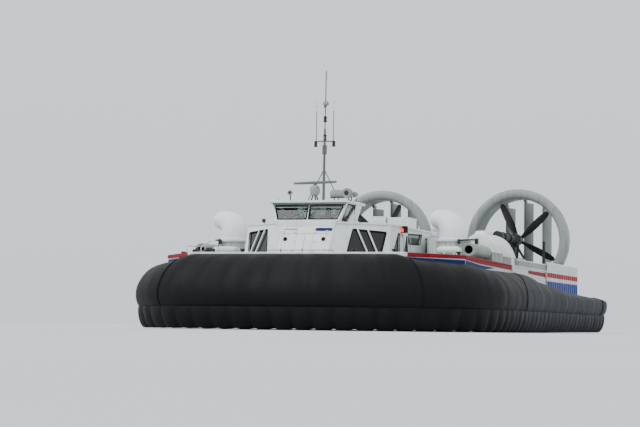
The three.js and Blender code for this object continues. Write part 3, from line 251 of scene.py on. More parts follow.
# Deck paint with crushed grit rolled into it: grains of 2 to 3 mm, drawn at 12 mm so that they show.
deck_paint, tree, shader, position = new_material("gritty deck paint", Specular_IOR_Level=0.3)
grit = add_node(tree, "ShaderNodeTexNoise", {"Vector": position, "Scale": 80.0, "Detail": 3.0})
wear = add_node(tree, "ShaderNodeTexNoise", {"Vector": position, "Scale": 0.9, "Detail": 7.0})
deck = add_node(tree, "ShaderNodeMix", {0: wear.outputs["Fac"], 6: linear("7d8780"), 7: linear("a3aca5")},
                data_type="RGBA")
level = add_node(tree, "ShaderNodeSeparateXYZ", {0: position}).outputs["Z"]
below = add_node(tree, "ShaderNodeMath", {0: level, 1: DECK_Z - 0.004}, operation="LESS_THAN")
tone = add_node(tree, "ShaderNodeMix", {0: below.outputs[0], 6: deck.outputs[2], 7: linear("d5dad9")},
                data_type="RGBA")
rough = add_node(tree, "ShaderNodeMapRange", {"Value": grit.outputs["Fac"], "To Min": 0.6, "To Max": 0.9})
bump = add_node(tree, "ShaderNodeBump", {"Height": grit.outputs["Fac"], "Strength": 0.3, "Distance": 0.003})
tree.links.new(tone.outputs[2], shader.inputs["Base Color"])
tree.links.new(rough.outputs["Result"], shader.inputs["Roughness"])
tree.links.new(bump.outputs[0], shader.inputs["Normal"])
keep(["hull_raft"], deck_paint, 0.02)


def swept(path, profile, closed=True):
    """A profile carried round a flat outline with mitred corners. The profile's pairs are the
    distance out from the outline and the height above its plane: point = path + mitre * out."""
    path = np.asarray(path, float)
    profile = np.asarray(profile, float)
    ahead = np.roll(path, -1, 0) - path
    if not closed:
        ahead[-1] = ahead[-2]
    ahead /= np.linalg.norm(ahead, axis=1, keepdims=True)
    behind = np.roll(ahead, 1, 0)
    if not closed:
        behind[0] = ahead[0]
    out = np.stack([ahead[:, 1] + behind[:, 1], -ahead[:, 0] - behind[:, 0]], -1)
    out /= (1 + np.sum(ahead * behind, axis=1, keepdims=True))
    flat = path[:, None, :] + out[:, None, :] * profile[None, :, :1]
    high = np.broadcast_to(profile[None, :, 1:], (*flat.shape[:2], 1))
    return surface(np.concatenate([flat, high], -1), wrap_u=closed, wrap_v=True, caps=not closed)


# Corners of the raft's port side: at the bow, at the end of the chamfer, and at the stern.
RAFT_BOW, RAFT_CHAMFER, RAFT_STERN = (4.18, -12.9), (6.0, -10.6), (6.0, 12.9)
# Where the white capping gives way to the red one on the chamfer, and comes back on the side.
RED_START, RED_END = (4.30, -12.748), (6.0, -2.3)
CAPPING = [
    # distance out from the deck's edge, height
    (0.0, 2.752), (0.03, 2.76), (0.035, 2.785), (0.02, 2.80), (-0.01, 2.805), (-0.05, 2.80), (-0.05, 2.752),
]


def edge_strip(path):
    """The capping along a stretch of the deck's edge. Its top rises by 0.11 m from Y = -6 to the bow."""
    points, faces = swept(path, CAPPING, closed=False)
    rise = 0.11 * np.clip((-6.0 - points[:, 1]) / 6.0, 0, 1) * (points[:, 2] > 2.77)
    return points + np.outer(rise, (0, 0, 1)), faces


bow_edge = [(-4.30, -12.748), (-4.18, -12.9), RAFT_BOW, RED_START]
stern_edge = [RED_END, RAFT_STERN, (-6.0, 12.9), (-6.0, -2.3)]
piece("deck_edge_capping", together(edge_strip(bow_edge), edge_strip(stern_edge)), white_paint)


# Stripes
# Painted bands on thin plate riveted along the raft's side: a red band along the deck's edge
# and a blue wedge under it that tapers out aft.

def painted_band(name, colour, worn, roughness=0.35):
    """A plain finish, faded in patches from its colour to a worn one: enamel, rubber, rope or moulding."""
    material, tree, shader, position = new_material(name, Roughness=roughness, Specular_IOR_Level=0.15)
    fade = add_node(tree, "ShaderNodeTexNoise", {"Vector": position, "Scale": 3.0, "Detail": 7.0})
    amount = add_node(tree, "ShaderNodeMapRange",
                      {"Value": fade.outputs["Fac"], "From Min": 0.35, "From Max": 0.8})
    tone = add_node(tree, "ShaderNodeMix", {0: amount.outputs["Result"], 6: linear(colour), 7: linear(worn)},
                    data_type="RGBA")
    tree.links.new(tone.outputs[2], shader.inputs["Base Color"])
    return material


# Brushed enamel in red and blue, chalked and scuffed where boats and fenders rub.
red_enamel = painted_band("red gloss enamel", "860c19", "962631", 0.6)
blue_enamel = painted_band("blue gloss enamel", "11205a", "223672", 0.6)
BAND_OUT = 0.004
BAND_THICK = 0.006


def side_band(rows):
    """Plates on the raft's side between rows of (x, y, low, high), 6 mm thick, standing just proud."""
    x, y, low, high = np.asarray(rows, float).T
    ahead = np.gradient(np.stack([x, y], -1), axis=0)
    out = np.stack([ahead[:, 1], -ahead[:, 0]], -1) / np.linalg.norm(ahead, axis=1, keepdims=True)
    near = np.stack([x, y], -1) + out * BAND_OUT
    far = near + out * BAND_THICK
    ring = [np.column_stack(part) for part in ((near, low), (far, low), (far, high), (near, high))]
    return surface(np.stack(ring, 1), wrap_v=True, caps=True)


red_rows = [(6.0, -10.58, 2.72, 2.752), (6.0, -8.2, 2.64, 2.752), (6.0, -4.0, 2.60, 2.752),
            (6.0, -2.3, 2.585, 2.752)]
coaming_red_rows = [(6.0, 1.2, 2.55, 2.69), (6.0, 5.05, 2.50, 2.69)]
blue_rows = [(4.3, -12.748, 2.44, 2.735), (5.99, -10.612, 2.36, 2.70)]
blue_aft_rows = [(6.0, -10.58, 2.36, 2.70), (6.0, -8.2, 2.42, 2.605), (6.0, -5.6, 2.555, 2.57)]
red_edge = edge_strip([RED_START, RAFT_CHAMFER, RED_END])
piece("red_side_band", both_sides(red_edge, *map(side_band, (red_rows, coaming_red_rows))), red_enamel)
piece("blue_side_band", both_sides(*map(side_band, (blue_rows, blue_aft_rows))), blue_enamel)


# Skirt
# Rubber-coated nylon cloth blown up from inside: one fat bag in gores round the raft, and a row
# of open fingers hung under it. The cloth is glued and stitched at its seams and clamped to the raft.

BEAM_HALF, LENGTH_HALF = 7.5, 14.75
BOW_CURVE, BOW_POWER = 6.5, 2.6
BOW_SEAM_DEG, CHAMFER_DEG = 38.4, 65.0
# The curved shoulder becomes a straight run here, and the bags meet at these places along the side.
RUN_Y, SIDE_JOINT_Y, STERN_JOINT_Y = -8.25, -2.0, 12.0
# The laced joint between the fore and aft bags starts here at the raft and slants forward outwards.
SEAM_Y, JOINT_SLANT = -2.3, 2.6
STERN_RADIUS = 1.6
# The height at the raft that the section below is drawn for.
BAG_TOP = 2.65
SECTION = np.array([
    # share of the way out, height, how far the height follows the top of the bag
    (0.00, 2.650, 1.00), (0.09, 2.664, 0.99), (0.20, 2.660, 0.97), (0.32, 2.615, 0.93), (0.44, 2.545, 0.88),
    (0.57, 2.43, 0.76), (0.68, 2.295, 0.62), (0.79, 2.11, 0.46), (0.88, 1.905, 0.30), (0.955, 1.68, 0.12),
    (0.995, 1.45, 0.00), (0.998, 1.26, 0.00), (0.975, 1.08, 0.00), (0.93, 0.92, 0.00), (0.86, 0.81, 0.00),
    (0.60, 0.80, 0.00), (0.35, 0.80, 0.00), (0.10, 0.80, 0.00), (0.0, 1.0, 0.0), (-0.10, 1.345, 0.00),
    (0.00, 1.349, 0.00), (0.00, 1.7, 0.30),
])
FINGER = np.array([
    # share of the way out, height, how far it swells
    (0.895, 0.88, 0.02), (0.885, 0.78, 0.035), (0.865, 0.62, 0.055), (0.835, 0.45, 0.07), (0.79, 0.27, 0.08),
    (0.735, 0.12, 0.08), (0.68, 0.0, 0.07), (0.655, 0.0, 0.065), (0.6, 0.03, 0.03), (0.52, 0.035, 0.0),
    (0.44, 0.0, 0.0), (0.41, 0.1, 0.0), (0.32, 0.45, 0.0), (0.17, 0.88, 0.0), (0.5, 0.885, 0.0),
])
FINGER_PITCH = 0.82
GORE = 1.64


def bow_curve(degrees):
    """The bow's plan at angle a: x = half beam * sin(a) ** (2 / power) and
    y = -half length + curve * (1 - cos(a) ** (2 / power))."""
    a = np.radians(degrees)
    power = 2 / BOW_POWER
    return np.stack([BEAM_HALF * np.abs(np.sin(a)) ** power * np.sign(a),
                     -LENGTH_HALF + BOW_CURVE - BOW_CURVE * np.maximum(np.cos(a), 0) ** power], -1)


def blend(a, b, t):
    """Points from a to b at shares t: a + (b - a) * t."""
    return np.asarray(a) + (np.asarray(b) - np.asarray(a)) * np.asarray(t)[:, None]


def straight(inner_from, inner_to, outer_from, outer_to, top_from, top_to, steps):
    """A straight stretch of a skirt piece in even steps: its inner and outer rows and its tops."""
    t = np.linspace(0, 1, steps)
    return blend(inner_from, inner_to, t), blend(outer_from, outer_to, t), top_from + (top_to - top_from) * t


bow_angles = np.linspace(-BOW_SEAM_DEG, BOW_SEAM_DEG, 61)
bow_outer = bow_curve(bow_angles)
bow_inner_x = bow_outer[:, 0] * RAFT_BOW[0] / bow_curve(BOW_SEAM_DEG)[0]
bow_top = 2.83 - 0.11 * np.clip(np.abs(bow_angles) - 34, 0, 4.4) / 4.4
bow_rows = (np.stack([bow_inner_x, np.full(61, RAFT_BOW[1])], -1), bow_outer, bow_top)
corner_angles = np.linspace(BOW_SEAM_DEG, 90, 60)
to_chamfer = np.clip((corner_angles - BOW_SEAM_DEG) / (CHAMFER_DEG - BOW_SEAM_DEG), 0, 1)
past_chamfer = np.clip((corner_angles - CHAMFER_DEG) / (90 - CHAMFER_DEG), 0, 1)
corner_inner = (blend(RAFT_BOW, RAFT_CHAMFER, to_chamfer)
                + blend((0, 0), (0, RUN_Y - RAFT_CHAMFER[1]), past_chamfer))
corner_top = np.interp(corner_angles, [BOW_SEAM_DEG, 47, 56, 65, 74, 82, 90],
                       [2.66, 2.61, 2.56, 2.51, 2.46, 2.42, 2.405])
run_inner, run_outer, run_top = straight((6.0, RUN_Y), (6.0, SIDE_JOINT_Y), (BEAM_HALF, RUN_Y),
                                         (BEAM_HALF, SIDE_JOINT_Y), 2.405, 2.43, 40)
shoulder_rows = (np.vstack([corner_inner, run_inner[1:]]),
                 np.vstack([bow_curve(corner_angles), run_outer[1:]]),
                 np.concatenate([corner_top, run_top[1:]]))
side_inner, side_outer, _ = straight((6.0, SIDE_JOINT_Y), (6.0, STERN_JOINT_Y), (BEAM_HALF, SIDE_JOINT_Y),
                                     (BEAM_HALF, STERN_JOINT_Y), 0.0, 0.0, 100)
side_top = np.interp(side_inner[:, 1], [-2.0, 1.2, 5.7, 12.0], [2.29, 2.16, 1.86, 1.66])
stern_turn = np.radians(np.linspace(0, 90, 24))
stern_corner = np.stack([BEAM_HALF - STERN_RADIUS + STERN_RADIUS * np.cos(stern_turn),
                         LENGTH_HALF - STERN_RADIUS + STERN_RADIUS * np.sin(stern_turn)], -1)
lead_in, lead_out, _ = straight((6.0, STERN_JOINT_Y), RAFT_STERN, (BEAM_HALF, STERN_JOINT_Y),
                                stern_corner[0], 0, 0, 8)
half_inner = np.vstack([lead_in, np.full((23, 2), RAFT_STERN)])
half_outer = np.vstack([lead_out, stern_corner[1:]])
_, across, _ = straight((0, 0), (0, 0), half_outer[-1], half_outer[-1] * (-1, 1), 0, 0, 80)
_, inner_across, _ = straight((0, 0), (0, 0), RAFT_STERN, (-6.0, 12.9), 0, 0, 80)
flip = np.array([-1.0, 1.0])
stern_inner = np.vstack([half_inner, inner_across[1:-1], half_inner[::-1] * flip])
stern_outer = np.vstack([half_outer, across[1:-1], half_outer[::-1] * flip])
stern_rows = (stern_inner, stern_outer, np.full(len(stern_inner), 1.66))


def along(rows, step):
    """The rows of a skirt piece laid out again at an even step along its outer edge."""
    inner, outer, top = rows
    run = np.concatenate([[0], np.cumsum(np.linalg.norm(np.diff(outer, axis=0), axis=1))])
    count = max(int(round(run[-1] / step)), 2) + 1
    at = np.linspace(0.0003, run[-1] - 0.0003, count)
    return ([np.stack([np.interp(at, run, part[:, i]) for i in (0, 1)], -1) for part in (inner, outer)]
            + [np.interp(at, run, top), at])


def smooth_section(section, count):
    """A closed section laid out again at even steps along its outline, eased at its corners."""
    ring = np.vstack([section, section[:1]])
    run = np.concatenate([[0], np.cumsum(np.linalg.norm(np.diff(ring[:, :2] * (1.6, 1.0), axis=0), axis=1))])
    at = np.linspace(0, run[-1], count, endpoint=False)
    rows = np.stack([np.interp(at, run, ring[:, i]) for i in range(3)], -1)
    return rows * 0.6 + (np.roll(rows, 1, 0) + np.roll(rows, -1, 0)) * 0.2, at


def skirt_points(inner, outer, share, height):
    """Points at a share of the way from the raft's edge (0) to the outer edge (1), and a height."""
    clear = 0.0006
    flat = inner[:, None] + (outer - inner)[:, None] * (clear + share * (1 - clear))[..., None]
    return np.concatenate([flat, height[..., None]], -1)


def bag(rows):
    """The bag: its section swells 6 mm between the gore seams, |sin(pi * s / gore)| ** 0.6, and is
    drawn into shallow folds under the clamp and over the fingers."""
    inner, outer, top, s = along(rows, 0.14)
    section, v = smooth_section(SECTION, 64)
    gores = max(round(s[-1] / GORE), 1) / s[-1]
    swell = np.abs(np.sin(np.pi * s * gores)) ** 0.6
    free = np.clip((section[:, 0] - 0.05) / 0.3, 0, 1)
    folds = np.sin(s * 9.1 + np.sin(s * 2.3) * 2) * 0.5 + np.sin(s * 15.7 + 1.0) * 0.25
    near_ties = np.exp(-((section[:, 1] - 0.95) / 0.22) ** 2) * free
    share = section[None, :, 0] + ((swell[:, None] - 1) * 0.005 * free + folds[:, None] * 0.006 * near_ties)
    rise = section[None, :, 1] + section[None, :, 2] * (top[:, None] - BAG_TOP)
    rise = rise + (swell[:, None] - 1) * 0.006 * np.clip((section[:, 1] - 1.5) / 0.6, 0, 1) * free
    grid = skirt_points(inner, outer, share, rise)
    marks = {"run": np.broadcast_to(s[:, None] * gores * GORE, share.shape),
             "girth": np.broadcast_to(v[None, :], share.shape)}
    return surface(grid, wrap_v=True, caps=True), marks


def fingers(rows):
    """The fingers: each swells by |sin(pi * s / pitch)| ** 0.7 between its seams and is cut to a
    shallow arch at its hem."""
    inner, outer, _, s = along(rows, FINGER_PITCH / 12)
    section, v = smooth_section(FINGER, 30)
    pitch = s[-1] / max(round(s[-1] / FINGER_PITCH), 1)
    swell = np.abs(np.sin(np.pi * s / pitch)) ** 0.7
    share = section[None, :, 0] + section[None, :, 2] * swell[:, None] * 0.95
    hem = np.exp(-(section[:, 1] / 0.12) ** 2)
    rise = np.maximum(section[None, :, 1] + (1 - swell[:, None]) * 0.05 * hem[None, :], 0.0)
    arched = np.minimum(rise, rise * (1.0001 - swell[:, None]))
    rise = np.where(section[None, :, 1] < 0.012, arched, rise)
    grid = skirt_points(inner, outer, share, rise)
    marks = {"run": np.broadcast_to(s[:, None] / pitch * GORE / 2, share.shape),
             "girth": np.broadcast_to(v[None, :] + 10.0, share.shape)}
    return surface(grid, wrap_v=True, caps=True), marks


def coated_cloth(name, fore_tone, fore_salt, aft_reflection_tone, aft_reflection_salt, roughness):
    """Neoprene-coated nylon: near black, stitched and taped at every gore, creased, with a film of
    water and salt that dries pale in the folds. The bags aft of the slanting joint are drawn
    greyer: a painted reflection of the sky on their sheen. The weave of 1 mm is drawn at 8 mm so that it
    shows."""
    material, tree, shader, position = new_material(name, Specular_IOR_Level=0.18)
    run = add_node(tree, "ShaderNodeAttribute", attribute_name="run").outputs["Fac"]
    girth = add_node(tree, "ShaderNodeAttribute", attribute_name="girth").outputs["Fac"]
    cloth = add_node(tree, "ShaderNodeCombineXYZ", {"X": run, "Y": girth}).outputs[0]
    patches = add_node(tree, "ShaderNodeTexNoise", {"Vector": position, "Scale": 0.55, "Detail": 7.0})
    long = add_node(tree, "ShaderNodeMapping", {"Vector": cloth, "Scale": (1.6, 0.4, 1.0)})
    runs = add_node(tree, "ShaderNodeTexNoise", {"Vector": long.outputs[0], "Scale": 1.0, "Detail": 5.0})
    salt = add_node(tree, "ShaderNodeMath", {0: patches.outputs["Fac"], 1: runs.outputs["Fac"]},
                    operation="MULTIPLY")
    amount = add_node(tree, "ShaderNodeMapRange", {"Value": salt.outputs[0], "From Min": 0.2, "From Max": 0.5,
                                                   "To Min": 0.0, "To Max": 0.6})
    place = add_node(tree, "ShaderNodeSeparateXYZ", {0: position})
    aside = add_node(tree, "ShaderNodeMath", {0: place.outputs["X"]}, operation="ABSOLUTE")
    slant = add_node(tree, "ShaderNodeMath", {0: aside.outputs[0], 1: JOINT_SLANT, 2: place.outputs["Y"]},
                     operation="MULTIPLY_ADD")
    aft = add_node(tree, "ShaderNodeMath", {0: slant.outputs[0], 1: JOINT_SLANT * 6.0 + SEAM_Y},
                   operation="GREATER_THAN")
    # Aft of the slanting joint the cloth takes greyer tones, a painted reflection of the sky.
    clean = add_node(tree, "ShaderNodeMix", {0: aft.outputs[0], 6: linear(fore_tone), 7: linear(aft_reflection_tone)},
                     data_type="RGBA")
    salted = add_node(tree, "ShaderNodeMix", {0: aft.outputs[0], 6: linear(fore_salt), 7: linear(aft_reflection_salt)},
                      data_type="RGBA")
    base = add_node(tree, "ShaderNodeMix", {0: amount.outputs["Result"], 6: clean.outputs[2],
                                            7: salted.outputs[2]}, data_type="RGBA")
    turn = add_node(tree, "ShaderNodeMath", {0: run, 1: 1 / GORE}, operation="MULTIPLY")
    off = add_node(tree, "ShaderNodeMath", {0: turn.outputs[0], 1: 1.0}, operation="PINGPONG")
    seam = add_node(tree, "ShaderNodeMath", {0: off.outputs[0], 1: 0.03}, operation="LESS_THAN")
    row = add_node(tree, "ShaderNodeMath", {0: girth, 1: 0.95}, operation="PINGPONG")
    tape = add_node(tree, "ShaderNodeMath", {0: row.outputs[0], 1: 0.03}, operation="LESS_THAN")
    taped = add_node(tree, "ShaderNodeMath", {0: seam.outputs[0], 1: tape.outputs[0]}, operation="MAXIMUM")
    dark = add_node(tree, "ShaderNodeMath", {0: taped.outputs[0], 1: 0.55}, operation="MULTIPLY")
    tone = add_node(tree, "ShaderNodeMix", {0: dark.outputs[0], 6: base.outputs[2], 7: linear("0b0c0e")},
                    data_type="RGBA")
    gloss = add_node(tree, "ShaderNodeMapRange", {"Value": runs.outputs["Fac"], "From Min": 0.3,
                                                  "From Max": 0.7, "To Min": roughness,
                                                  "To Max": roughness + 0.25})
    weave = add_node(tree, "ShaderNodeTexChecker", {"Vector": cloth, "Scale": 125.0})
    creases = add_node(tree, "ShaderNodeTexNoise",
                       {"Vector": cloth, "Scale": 2.4, "Detail": 5.0, "Distortion": 0.6})
    raised = add_node(tree, "ShaderNodeBump",
                      {"Height": taped.outputs[0], "Strength": 0.6, "Distance": 0.006})
    creased = add_node(tree, "ShaderNodeBump", {"Height": creases.outputs["Fac"], "Strength": 0.5,
                                                "Distance": 0.03, "Normal": raised.outputs[0]})
    woven = add_node(tree, "ShaderNodeBump", {"Height": weave.outputs["Fac"], "Strength": 0.06,
                                              "Distance": 0.001, "Normal": creased.outputs[0]})
    tree.links.new(tone.outputs[2], shader.inputs["Base Color"])
    tree.links.new(gloss.outputs["Result"], shader.inputs["Roughness"])
    tree.links.new(woven.outputs[0], shader.inputs["Normal"])
    return material


# Fore tones, then the aft bags' greyer tones, which are a painted reflection of the sky.
skirt_cloth = coated_cloth("black coated nylon", "060709", "141619", "1d2024", "2f3338", 0.5)


def skirt_piece(name, rows, node, mirror=False):
    (bag_shape, bag_marks), (finger_shape, finger_marks) = bag(rows), fingers(rows)
    shape = together(bag_shape, finger_shape)
    marks = {key: np.concatenate([bag_marks[key].ravel(), finger_marks[key].ravel()]) for key in bag_marks}
    piece(name, mirrored(shape) if mirror else shape, skirt_cloth, replaces=[node], sharp=50,
          marks=marks)


def tube(path, radius, sides=10, closed=False):
    """A round bar along a path: circles of the radius, one value or one a point, square to
    the path, set out from the axis or diagonal that the path keeps furthest from."""
    path = np.asarray(path, float)
    if closed:
        way = np.roll(path, -1, 0) - np.roll(path, 1, 0)
    else:
        way = np.gradient(path, axis=0)
    way /= np.linalg.norm(way, axis=1, keepdims=True)
    leanings = np.vstack([np.eye(3), [(1, 1, 1), (1, 1, -1), (1, -1, 1), (-1, 1, 1)] / np.sqrt(3)])
    across = np.cross(leanings[np.argmin(np.abs(way @ leanings.T).max(0))], way)
    across /= np.linalg.norm(across, axis=1, keepdims=True)
    turn = np.linspace(0, 2 * np.pi, sides, endpoint=False)[None, :, None]
    ring = np.cos(turn) * across[:, None] + np.sin(turn) * np.cross(way, across)[:, None]
    size = np.broadcast_to(np.asarray(radius, float), (len(path),))[:, None, None]
    return surface(path[:, None] + ring * size, wrap_u=closed, wrap_v=True, caps=not closed)


def seam_shadow_cord(inner, outer, top):
    """The laced rope over the joint between two bags, its black also a painted shadow of the step
    there: it follows the bag's section, eased at its corners.
    """
    section, _ = smooth_section(SECTION, 64)
    shown = section[(section[:, 0] > 0.03) & (section[:, 1] > 0.86)]
    rise = shown[:, 1] + shown[:, 2] * (top - BAG_TOP)
    path = skirt_points(np.array([inner]), np.array([outer]), shown[None, :, 0], rise[None])[0]
    return tube(path, 0.028, 8)


skirt_piece("bow_skirt", bow_rows, "skirt_bow")
skirt_piece("port_shoulder_skirt", shoulder_rows, "skirt_shoulder_port")
skirt_piece("starboard_shoulder_skirt", shoulder_rows, "skirt_shoulder_starboard", True)
skirt_piece("port_side_skirt", (side_inner, side_outer, side_top), "skirt_side_port")
skirt_piece("starboard_side_skirt", (side_inner, side_outer, side_top), "skirt_side_starboard", True)
skirt_piece("stern_skirt", stern_rows, "skirt_stern")


# Black polypropylene rope laced through eyelets where two bags meet, matt and stiff with salt. Its
# black line is also a painted shadow of the step where one bag overlaps the next.
rope = painted_band("black laced rope", "060607", "17181a", 0.8)
seam_ends = [
    # end at the raft, end at the outer edge, top of the bag there
    (corner_inner[0], bow_curve(BOW_SEAM_DEG), 2.70),
    ((6.0, SEAM_Y), (BEAM_HALF, SEAM_Y - JOINT_SLANT * 1.5), 2.42),
    ((6.0, STERN_JOINT_Y), (BEAM_HALF, STERN_JOINT_Y), 1.67),
]
piece("bag_seam_shadow_ropes", both_sides(*[seam_shadow_cord(*ends) for ends in seam_ends]), rope)


# Side bulwarks
# Pressed aluminium plate bolted to the raft's side: a low coaming amidships and a ribbed plate at
# the stern that carries the painted bands.

# White paint with a red band under the deck and a deep blue one near the skirt, by height. The low
# coaming ahead of the ribbed plate is grey-green above the deck.
banded_paint = marine_paint("banded stern plate paint", "dde3e0", "98a19c", 0.32)
tree = banded_paint.node_tree
shader = tree.nodes["Principled BSDF"]
plain = shader.inputs["Base Color"].links[0].from_socket
position = add_node(tree, "ShaderNodeTexCoord").outputs["Object"]
where = add_node(tree, "ShaderNodeSeparateXYZ", {0: position})
low_edge = add_node(tree, "ShaderNodeMath", {0: where.outputs["Z"], 1: 2.50}, operation="GREATER_THAN")
high_edge = add_node(tree, "ShaderNodeMath", {0: where.outputs["Z"], 1: 2.72}, operation="LESS_THAN")
in_red = add_node(tree, "ShaderNodeMath", {0: low_edge.outputs[0], 1: high_edge.outputs[0]},
                  operation="MULTIPLY")
in_blue = add_node(tree, "ShaderNodeMath", {0: where.outputs["Z"], 1: 2.33}, operation="LESS_THAN")
aft = add_node(tree, "ShaderNodeMath", {0: where.outputs["Y"], 1: 5.2}, operation="GREATER_THAN")
blue_here = add_node(tree, "ShaderNodeMath", {0: in_blue.outputs[0], 1: aft.outputs[0]}, operation="MULTIPLY")
reddened = add_node(tree, "ShaderNodeMix", {0: in_red.outputs[0], 6: plain, 7: linear("9c1f2b")},
                    data_type="RGBA")
banded = add_node(tree, "ShaderNodeMix", {0: blue_here.outputs[0], 6: reddened.outputs[2],
                                          7: linear("1f3c8f")}, data_type="RGBA")
over_deck = add_node(tree, "ShaderNodeMath", {0: where.outputs["Z"], 1: 2.76}, operation="GREATER_THAN")
ahead = add_node(tree, "ShaderNodeMath", {0: over_deck.outputs[0], 1: aft.outputs[0]},
                 operation="GREATER_THAN")
full = add_node(tree, "ShaderNodeMix", {0: ahead.outputs[0], 6: banded.outputs[2], 7: linear("7f877c")},
                data_type="RGBA")
tree.links.new(full.outputs[2], shader.inputs["Base Color"])
keep(["side_bulwark_port", "side_bulwark_starboard"], banded_paint, 0.008)


def blocks(rows):
    """Square-edged blocks from rows of (x0, x1, y0, y1, z0, z1): corner = low + (high - low) * (i, j, k)."""
    limits = np.asarray(rows, float).reshape(-1, 3, 2)
    corner = np.array([[i, j, k] for k in (0, 1) for j in (0, 1) for i in (0, 1)])
    points = limits[:, None, :, 0] + corner * (limits[:, None, :, 1] - limits[:, None, :, 0])
    faces = np.array([[0, 2, 3, 1], [4, 5, 7, 6], [0, 1, 5, 4], [2, 6, 7, 3], [0, 4, 6, 2], [1, 3, 7, 5]])
    every = faces[None] + 8 * np.arange(len(limits))[:, None, None]
    return points.reshape(-1, 3), [every.reshape(-1, 4)]


def bent(corners, radius, steps=5):
    """A path through corners, each rounded by a quadratic curve that starts a radius before it."""
    corners = np.asarray(corners, float)
    before, at, after = corners[:-2], corners[1:-1], corners[2:]
    start = at + (before - at) / np.linalg.norm(before - at, axis=1, keepdims=True) * radius
    end = at + (after - at) / np.linalg.norm(after - at, axis=1, keepdims=True) * radius
    t = np.linspace(0, 1, steps)[None, :, None]
    curve = (1 - t) ** 2 * start[:, None] + 2 * t * (1 - t) * at[:, None] + t ** 2 * end[:, None]
    return np.vstack([corners[:1], curve.reshape(-1, corners.shape[1]), corners[-1:]])


piece("bulwark_capping", both_sides(
    tube([(6.03, 5.22, 3.16), (6.03, 9.2, 3.16), (6.03, 12.82, 3.16)], 0.035),
    tube([(5.94, -0.75, 3.07), (5.94, 2.4, 3.07), (5.94, 5.16, 3.07)], 0.03)), white_paint)
# Two upright fender posts: a white one at the break of the skirt, a yellow one by the stern plate.
white_post = blocks([(6.0, 6.09, -2.3, -2.12, 2.5, 3.14), (5.96, 6.12, -2.33, -2.09, 3.1, 3.16)])
piece("white_side_post", both_sides(white_post), white_paint, bevel=0.01)
# Yellow enamel, sun-bleached.
yellow_enamel = painted_band("yellow gloss enamel", "b7a35f", "d0c79c")
yellow_post = blocks([(6.0, 6.07, 5.0, 5.16, 2.45, 2.76)])
piece("yellow_side_post", both_sides(yellow_post), yellow_enamel, bevel=0.01)


# Landing skids
# Two fabricated aluminium runners under the raft with cross ties, bare and scraped on the underside.

keep(["landing_skids"], bare_metal, 0.015)
skid_pads = [(3.1 - 0.15, 3.1 + 0.15, y, y + 1.3, 0.915, 0.93) for y in (-8.4, -4.2, 0.2, 4.6, 8.2)]
piece("skid_wear_pads", both_sides(blocks(skid_pads)), bare_metal, bevel=0.004)


# Cabin
# Walls and roof of white-painted aluminium plate, leaning inward. Dark bonded window panes sit in
# black rubber gaskets, with white bars over the joints between panes.

keep(["cabin_front", "cabin_flank_port", "cabin_flank_starboard", "cabin_side_port", "cabin_side_starboard",
      "cabin_rear", "cabin_roof"], white_paint)


def glazing(name, tint, clear, roughness, smeared):
    """Toughened glass: clear and glossy with smears of salt, so that the dim inside shows a little."""
    material, tree, shader, position = new_material(name, Base_Color=linear(tint), IOR=1.5,
                                                    Transmission_Weight=clear)
    smear = add_node(tree, "ShaderNodeTexNoise", {"Vector": position, "Scale": 1.6, "Detail": 6.0})
    gloss = add_node(tree, "ShaderNodeMapRange", {"Value": smear.outputs["Fac"], "From Min": 0.4,
                                                  "From Max": 0.8, "To Min": roughness,
                                                  "To Max": roughness + smeared})
    tree.links.new(gloss.outputs["Result"], shader.inputs["Roughness"])
    return material


# Grey-tinted glass, nearly opaque against the dark cabin, and clear glass for the wheelhouse.
tinted_glass = glazing("grey-tinted toughened glass", "12161d", 0.2, 0.06, 0.15)
clear_glass = glazing("clear wheelhouse glass", "98a4a4", 0.97, 0.0, 0.02)
keep(["flank_glass_port", "flank_glass_starboard", "slit_glass_port", "slit_glass_starboard",
      "side_glass_port", "side_glass_starboard"], tinted_glass, 0.002)
# Black neoprene glazing rubber, matt, greyed by the weather.
gasket_rubber = painted_band("weathered glazing rubber", "101214", "26292b", 0.7)


def onto(shape, origin, along, up):
    """Lays a flat-made shape onto a wall: point = origin + x * along + y * up + z * outward, where
    outward is along x up."""
    points, faces = shape
    along, up = np.asarray(along, float), np.asarray(up, float)
    outward = np.cross(along / np.linalg.norm(along), up / np.linalg.norm(up))
    return np.asarray(origin, float) + points @ np.stack([along, up, outward]), faces


# Each wall by a point on its outer face, the way along it, and the way up it in metres of height.
# Outward is to the right of the way along.
ALONG_FLANK, OUT_FLANK = np.array([0.75378, 0.65712, 0]), np.array([0.65712, -0.75378, 0])
FLANK_LEAN = 0.25825
walls = {
    "front": ((0.0, -12.05, DECK_Z), (1, 0, 0), (0, 0.42308, 1)),
    "flank": ((1.0, -12.05, DECK_Z), ALONG_FLANK, (0, 0, 1) - OUT_FLANK * FLANK_LEAN),
    "side": ((2.95, 0.0, DECK_Z), (0, 1, 0), (-0.053846, 0, 1)),
    "rear": ((0.0, 3.05, DECK_Z), (-1, 0, 0), (0, 0, 1)),
    "house front": ((0.0, -11.46, 4.13), (1, 0, 0), (0, 0.45205, 1)),
    "house side": ((1.27, 0.0, 4.13), (0, 1, 0), (0.32877, 0, 1)),
    "house rear": ((0.0, -9.15, 4.13), (-1, 0, 0), (0, 0, 1)),
}
GASKET = [(-0.022, 0.0), (-0.02, 0.009), (-0.008, 0.014), (0.008, 0.014), (0.022, 0.006), (0.024, 0.0)]
UPWARD, AFTWARD = (0, 0, 1), (0, 1, 0)


def on_wall(wall, outline):
    origin, along, up = walls[wall]
    return np.asarray(outline, float) - (0, origin[2]), (origin, along, up)


def gasket(wall, outline, radius=0.06):
    """The rubber round a window: the gasket's profile carried round its outline with rounded corners."""
    corners, place = on_wall(wall, outline)
    rounded = bent(np.vstack([corners[-1:], corners, corners[:1]]), radius)[1:-1]
    area = np.sum(rounded[:, 0] * np.roll(rounded[:, 1], -1) - rounded[:, 1] * np.roll(rounded[:, 0], -1))
    return onto(swept(rounded if area > 0 else rounded[::-1], GASKET), *place)


